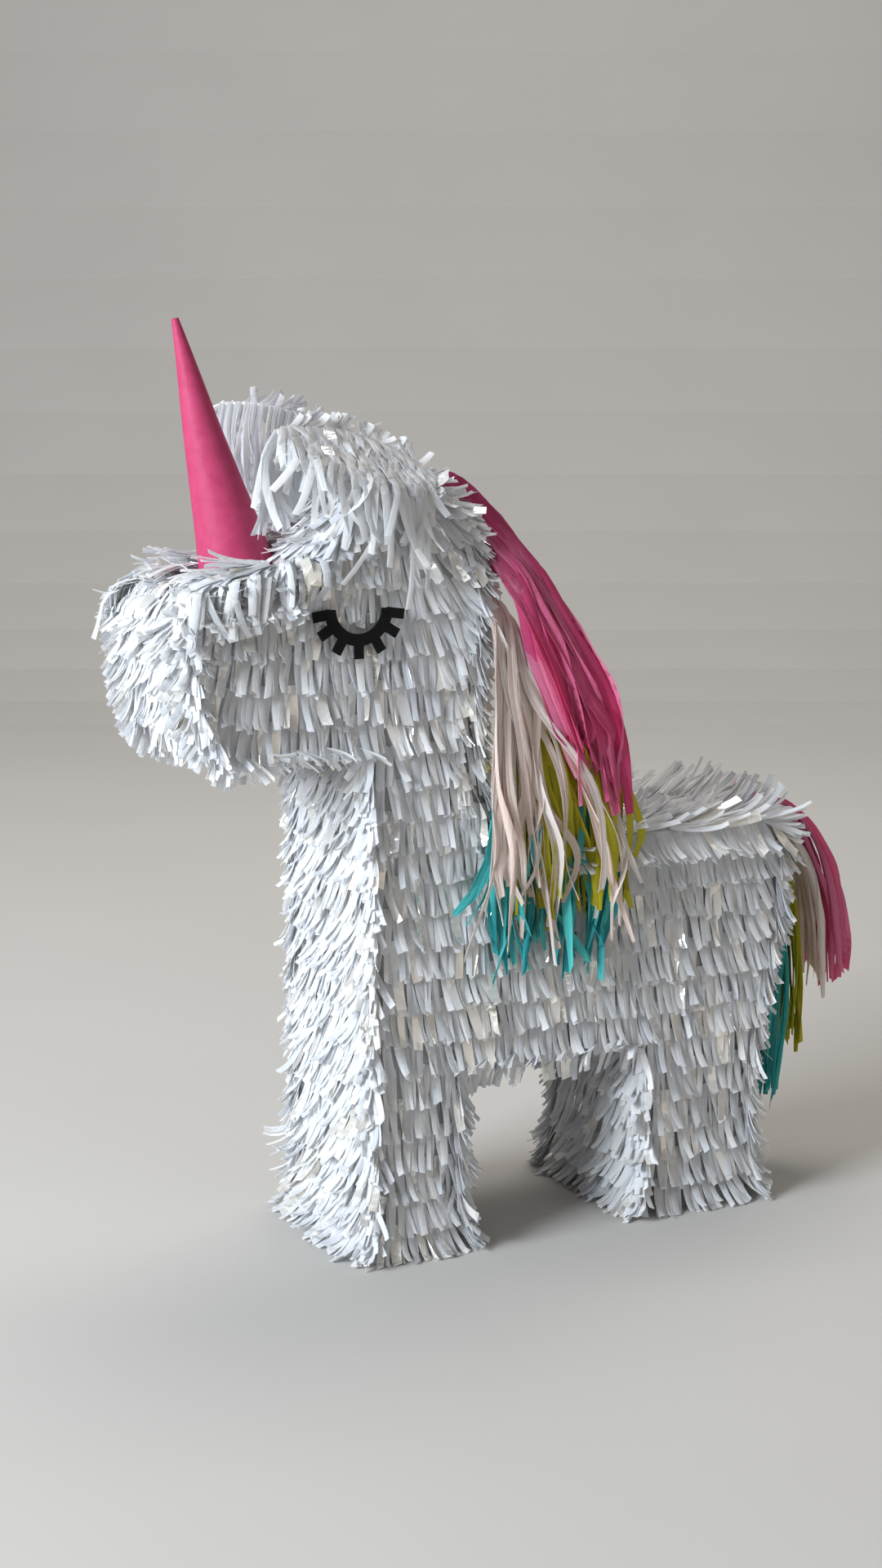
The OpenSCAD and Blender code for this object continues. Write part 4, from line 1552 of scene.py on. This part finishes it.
@dataclass
class Horn:
    """Rolled paper cone with an overlapping seam on its hidden side."""

    body: Body
    paints: Paints
    height: float = 163 * MM
    tip: float = 2 * MM
    wall: float = 0.35 * MM
    overlap: float = 24.0
    seam: float = 60.0
    crisp: float = 40.0

    def build(self) -> None:
        """Make the cone.

        At the angle a and the height h, the radius is R + (r - R) h / H, a little more on the outer end of
        the sheet, so that the sheet winds once round and laps over its own start.
        """
        a = np.radians(np.linspace(self.seam, self.seam + 360 + self.overlap, 97))
        h = np.linspace(0, 1, 34)
        part, high = np.meshgrid(np.arange(len(a)) / (len(a) - 1), h, indexing="ij")
        angle = a[:, None]
        cone = self.body.horn_r + (self.tip - self.body.horn_r) * high
        dent = 0.25 * MM * np.sin(2 * angle + 1.0) * (1 - high) + 0.25 * MM * np.sin(9 * high + angle)
        slope = np.radians(-self.body.horn_lean)
        buffer, grids = MeshBuffer(), []
        for depth in (0.0, self.wall):
            r = cone - depth + 0.55 * MM * part + dent
            x, y, z = r * np.cos(angle), r * np.sin(angle), 0.8 * MM + high * self.height
            leant = [x * np.cos(slope) + z * np.sin(slope), y, -x * np.sin(slope) + z * np.cos(slope)]
            grids.append(np.stack(leant, -1) + self.body.horn_foot)
        closed_slab(buffer, grids[0], grids[1])
        obj = buffer.piece("horn_cone", self.paints.made[Slot.HORN], Slot.HORN, smooth=True)
        obj.data.set_sharp_from_angle(angle=np.radians(self.crisp))
        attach(obj, "root")
        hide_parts("horn")


# ---- Mane and tail ----


@dataclass
class Lock:
    """One colour of streamers: knots of the first and of the last streamer, in mm, and their spread."""

    name: str
    slot: Slot
    nodes: tuple[str, ...]
    ways: tuple[str, str]
    bend: tuple[tuple[float, float, float], tuple[float, float, float]]
    first: list[tuple[float, float, float]]
    last: list[tuple[float, float, float]]
    count: int
    width: tuple[float, float]
    depth: float
    ends: float
    loose: float = 2.0
    seed: int = 1


@dataclass
class Streamers:
    """Bundles of long crepe streamers that hang from the neck and from the tail's root."""

    paints: Paints
    rings: int = 30
    gather: float = 6 * MM

    def hang(self, lock: Lock, facing: Array) -> None:
        """Make one lock.

        Streamer i takes the share a of the way from the first to the last streamer; its knots are
        (1 - a) first + a last, moved by a random amount that grows from the root to the tip, and its end is
        longer or shorter by a random share. Its width lies across `facing` and turns by a slow random twist.

        Args:
            lock: The lock's shape.
            facing: Way that the flat of the streamers faces.
        """
        rng = np.random.default_rng(lock.seed)
        n = lock.count
        a = (np.arange(n) + rng.uniform(0, 1, n)) / n
        first, last = np.array(lock.first) * MM, np.array(lock.last) * MM
        knots = (1 - a)[:, None, None] * first + a[:, None, None] * last
        j = knots.shape[1]
        grow = np.linspace(0.15, 1, j)[None, :, None]
        stray = np.where(rng.random(n) < 0.22, 2.6, 1.0)[:, None, None]
        knots = knots + rng.normal(0, lock.loose * MM, (n, j, 3)) * grow * stray * [1, 0.6, 0.3]
        layer = rng.uniform(-0.5, 0.5, n)
        deeper = np.linspace(0.4, 1, j - 1)[None, :, None]
        knots[:, 1:] += (layer * lock.depth * MM)[:, None, None] * facing * deeper
        stretch = rng.uniform(-1, 1, n) * lock.ends * MM
        way = unit(knots[:, -1] - knots[:, -2])
        knots[:, -1] += way * stretch[:, None]
        line = smooth_line(knots, self.rings)
        t = np.linspace(0, 1, self.rings)
        phase, speed = rng.uniform(0, 6.28, (2, n, 1)), rng.uniform(5, 11, (n, 1))
        ripple = np.sin(phase[0] + speed * t)[..., None] * facing
        ripple = ripple + np.cos(phase[1] + 0.7 * speed * t)[..., None] * np.array([1.0, 0, 0])
        line = line + ripple * (1.6 * MM * t)[:, None]
        ahead = unit(np.gradient(line, axis=1))
        base = unit(np.cross(ahead, facing))
        twist = rng.normal(0, 0.6, (n, 1)) * t + rng.normal(0, 1.3, (n, 1)) * t**3
        across = turned(base, ahead, twist)
        pinch = 1 - 0.22 * np.sin(phase[0] * 3 + 2.1 * speed * t) ** 2
        wide = rng.uniform(*lock.width, (n, 1)) * MM * (0.75 + 0.25 * ease(t * 5)) * (1 - 0.5 * t**6) * pinch
        buffer = MeshBuffer()
        ribbons(buffer, line, across, wide, rng.random(n), thick=0.25 * MM, fold=0.14,
                slant=rng.normal(0, 0.8, n))
        obj = buffer.piece(lock.name, self.paints.made[lock.slot], lock.slot)
        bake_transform(obj)
        if lock.nodes:
            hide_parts(*lock.nodes)

    def ties(self, name: str, body: str, node: str, line: Array, seed: int) -> None:
        """Gathered paper where the streamers are tied: short overlapping bands round a line.

        Each band is a ribbon whose centreline is a half circle about the line, at a slightly different tilt.

        Args:
            name: Name of the piece.
            body: CAD body it rides on.
            node: CAD node that it replaces.
            line: Places of the ties, N x 3.
            seed: Seed of the spread.
        """
        rng = np.random.default_rng(seed)
        n = len(line)
        t = np.linspace(0, np.pi, 9)
        tilt = rng.normal(0, 0.5, (n, 1))
        r = self.gather * rng.uniform(0.8, 1.15, (n, 1))
        bulge = r * np.sin(t)
        spread = np.stack([bulge * np.cos(tilt), -r * np.cos(t) * 1.1, bulge * np.sin(tilt + 0.6)], -1)
        curve = line[:, None] + spread
        across = np.broadcast_to(unit(rng.normal(0, 0.25, (n, 1, 3)) + [0.5, 0, 1.0]), curve.shape)
        buffer = MeshBuffer()
        ribbons(buffer, curve, across, np.full((n, 9), 9 * MM), rng.random(n), thick=0.3 * MM, fold=0.12)
        obj = buffer.piece(name, self.paints.made[Slot.PINK], Slot.PINK)
        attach(obj, body)
        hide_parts(node)

    def mane(self, poll: EdgePath) -> None:
        """Tie the mane's streamers along the neck.

        Args:
            poll: Edge stretch that the mane's crest is glued to.
        """
        point, _, normal = poll.at(np.linspace(8 * MM, 70 * MM, 16))
        line = upright(point, 0.0) + upright(normal, 0.0) * 2 * MM
        self.ties("mane_ties", "root", "mane_crest", line, 31)

    def tail(self) -> None:
        """Tie the tail's streamers on its wrapped root."""
        low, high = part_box("tail_wrap")
        z = np.linspace(low.z + 30 * MM, high.z - 12 * MM, 12)
        line = np.stack([np.full(12, low.x + 2.5 * MM), np.linspace(-14, 14, 12) * MM, z], -1)
        self.ties("tail_ties", "tail_root", "tail_wrap", line, 32)


MANE = [
    Lock("streamers_pink", Slot.PINK, ("mane_pink",), ("root", "pink_locks"),
         ((30, -8, 503), (52, -56, 462)),
         [(44, 0, 462), (50, -34, 466), (64, -72, 436), (78, -81, 392), (92, -83, 348), (108, -83, 316)],
         [(20, 0, 502), (42, -34, 500), (74, -68, 452), (104, -80, 402), (129, -83, 352), (138, -83, 302)],
         27, (8, 14.5), 8, 26, loose=3.6, seed=3),
    Lock("streamers_cream", Slot.CREAM, ("mane_cream",), ("root", "cream_locks"),
         ((48, -40, 446), (52, -66, 420)),
         [(46, -30, 452), (52, -62, 425), (49, -77, 370), (46, -80, 310), (43, -79, 262), (41, -78, 226)],
         [(54, -30, 430), (62, -62, 410), (70, -78, 365), (78, -81, 310), (88, -80, 262), (96, -79, 222)],
         20, (4, 8.5), 6, 34, loose=4.5, seed=5),
    Lock("streamers_cream_stray", Slot.CREAM, (), ("root", "cream_locks"),
         ((48, -40, 446), (52, -66, 420)),
         [(56, -30, 430), (64, -62, 410), (76, -79, 365), (88, -84, 310), (90, -84, 262), (92, -82, 224)],
         [(56, -30, 430), (68, -62, 410), (88, -79, 365), (122, -84, 310), (146, -84, 262), (158, -81, 220)],
         9, (3.5, 6.5), 3, 26, loose=5.0, seed=6),
    Lock("streamers_lime", Slot.LIME, ("mane_lime",), ("root", "lime_locks"),
         ((100, -58, 352), (100, -70, 330)),
         [(64, -52, 362), (64, -68, 345), (62, -75, 310), (62, -75, 270), (64, -74, 226)],
         [(100, -50, 350), (124, -64, 340), (144, -73, 312), (154, -75, 275), (156, -74, 240)],
         40, (5, 10), 7, 22, loose=4.0, seed=8),
    Lock("streamers_teal", Slot.TEAL, ("mane_teal",), ("root", "teal_locks"),
         ((90, -54, 322), (90, -68, 300)),
         [(60, -52, 326), (56, -66, 305), (50, -71, 270), (48, -71, 230), (50, -70, 196)],
         [(112, -50, 318), (128, -64, 300), (138, -70, 268), (142, -71, 232), (136, -70, 190)],
         40, (5, 10), 5, 18, loose=4.0, seed=9),
    Lock("streamers_teal_stray", Slot.TEAL, (), ("root", "teal_locks"),
         ((90, -54, 322), (90, -68, 300)),
         [(62, -52, 326), (54, -68, 300), (46, -73, 268), (32, -76, 246), (15, -76, 234)],
         [(64, -52, 326), (58, -68, 300), (52, -73, 268), (42, -76, 240), (28, -77, 222)],
         3, (5, 7), 1, 4, loose=1.0, seed=10),
]

TAIL = [
    Lock("tail_streamers_pink", Slot.PINK, ("tail_pink",), ("tail_root", "tail"),
         ((290, 0, 272), (302, 0, 268)),
         [(290, -14, 268), (316, -16, 268), (346, -18, 232), (360, -19, 186), (366, -20, 138)],
         [(290, 14, 268), (316, 16, 268), (344, 18, 232), (358, 19, 186), (362, 20, 140)],
         22, (8, 12), 9, 10, seed=13),
    Lock("tail_streamers_cream", Slot.CREAM, ("tail_cream",), ("tail_root", "tail"),
         ((290, 0, 256), (302, 0, 252)),
         [(290, -13, 256), (312, -15, 254), (334, -18, 222), (346, -19, 180), (350, -20, 132)],
         [(290, 13, 256), (312, 15, 254), (334, 18, 222), (346, 19, 180), (348, 20, 134)],
         18, (6, 9), 8, 12, seed=14),
    Lock("tail_streamers_lime", Slot.LIME, ("tail_lime",), ("tail_root", "tail"),
         ((290, 0, 242), (302, 0, 236)),
         [(290, -12, 240), (308, -14, 238), (322, -17, 205), (330, -18, 150), (332, -20, 92)],
         [(290, 12, 240), (308, 14, 238), (322, 17, 205), (330, 18, 150), (332, 20, 94)],
         18, (6, 9), 8, 12, seed=15),
    Lock("tail_streamers_teal", Slot.TEAL, ("tail_teal",), ("tail_root", "tail"),
         ((290, 0, 228), (300, 0, 218)),
         [(291, -11, 226), (305, -13, 221), (315, -16, 180), (316, -17, 120), (311, -19, 58)],
         [(291, 11, 226), (305, 13, 221), (315, 16, 180), (316, 17, 120), (311, 19, 60)],
         26, (7, 11), 7, 12, seed=16),
]


@dataclass
class Studio:
    """Pale floor, soft lights and the camera."""

    place: tuple[float, float, float] = (-0.6447, -1.3897, 0.5620)
    azimuth: float = -26.5
    elevation: float = 9.58
    lens: float = 54.375

    def build(self) -> None:
        """Set up the whole studio."""
        self.floor()
        self.lights()
        self.camera()

    def floor(self) -> None:
        """Lay floor and backdrop as one sheet, square to the camera.

        At the angle q of the bend the sheet is at the distance d + r sin q and the height r (1 - cos q);
        before the bend it is flat and after it straight up.
        """
        q = np.linspace(0, np.pi / 2, 17)
        near, far, r, top, wide = -5.0, 2.4, 2.2, 6.0, 7.0
        ahead = np.concatenate([[near], far + r * np.sin(q), [far + r]])
        high = np.concatenate([[0.0], r * (1 - np.cos(q)), [top]])
        a = np.radians(self.azimuth)
        way, side = np.array([-np.sin(a), np.cos(a)]), np.array([np.cos(a), np.sin(a)])
        flat = ahead[:, None, None] * way + np.array([-wide, wide])[None, :, None] * side
        rise = np.broadcast_to(high[:, None, None], (len(q) + 2, 2, 1))
        points = np.concatenate([flat, rise], -1).reshape(-1, 3)
        i = 2 * np.arange(len(q) + 1)
        mesh = bpy.data.meshes.new("studio_floor")
        mesh.from_pydata(points.tolist(), [], np.stack([i, i + 1, i + 3, i + 2], -1).tolist())
        mesh.materials.append(FloorFinish("studio_floor").make())
        placed("studio_floor", mesh)

    def softbox(self, name: str, place: tuple[float, float, float], size: float, power: float, colour: Colour,
                aim: tuple[float, float, float] = (0.06, 0.0, 0.3)) -> None:
        """Hang a square light.

        Args:
            name: Name of the light.
            place: Its place.
            size: Side of the square.
            power: Power in watts.
            colour: Its tint.
            aim: Point that it faces.
        """
        data = bpy.data.lights.new(name, "AREA")
        data.size, data.energy, data.color = size, power, colour
        obj = placed(name, data)
        obj.location = place
        obj.rotation_euler = (Vector(aim) - Vector(place)).to_track_quat("-Z", "Y").to_euler()

    def lights(self) -> None:
        """Hang the lights and set the haze round the studio."""
        self.softbox("key", (-2.6, -0.62, 1.3), 1.2, 118.0, (0.86, 0.93, 1.0))
        self.softbox("fill", (1.2, -2.4, 1.2), 2.0, 5.0, (1.0, 0.93, 0.86))
        self.softbox("top", (0.5, 0.6, 2.4), 1.4, 16.0, (1.0, 0.95, 0.90))
        self.softbox("backdrop", (0.9, 1.2, 3.4), 2.4, 42.0, (1.0, 0.98, 0.96), (2.0, 4.0, 1.2))
        world = bpy.data.worlds.new("studio_haze")
        world.use_nodes = True
        shade = world.node_tree.nodes["Background"]
        shade.inputs["Color"].default_value = (0.83, 0.80, 0.77, 1)
        shade.inputs["Strength"].default_value = 0.21
        bpy.context.scene.world = world

    def camera(self) -> None:
        """Place the camera; it looks along (-sin a cos e, cos a cos e, -sin e)."""
        data = bpy.data.cameras.new("camera")
        data.lens, data.sensor_width = self.lens, 36.0
        data.clip_start, data.clip_end = 0.05, 60.0
        obj = placed("camera", data)
        a, e = np.radians(self.azimuth), np.radians(self.elevation)
        obj.location = self.place
        look = Vector((-np.sin(a) * np.cos(e), np.cos(a) * np.cos(e), -np.sin(e)))
        obj.rotation_euler = look.to_track_quat("-Z", "Y").to_euler()
        bpy.context.scene.camera = obj
        bpy.context.scene.view_settings.view_transform = "Standard"


def main() -> None:
    """Build every piece in order."""
    logging.basicConfig(level=logging.INFO, format="%(name)s %(message)s")
    Studio().build()
    paints = Paints()
    paints.dress_nodes()
    body = Body()
    fringe = Fringe(body, paints)
    Lining(body, paints).build(fringe.runs)
    fringe.build()
    Ears(body, fringe).build()
    fringe.film_pieces()
    Horn(body, paints).build()
    streamers = Streamers(paints)
    for lock in MANE:
        streamers.hang(lock, np.array([0.0, -1.0, 0.0]))
    for lock in TAIL:
        streamers.hang(lock, np.array([1.0, 0.0, 0.25]))
    streamers.mane(fringe.runs["fringe_poll"])
    streamers.tail()


if __name__ == "__main__":
    main()
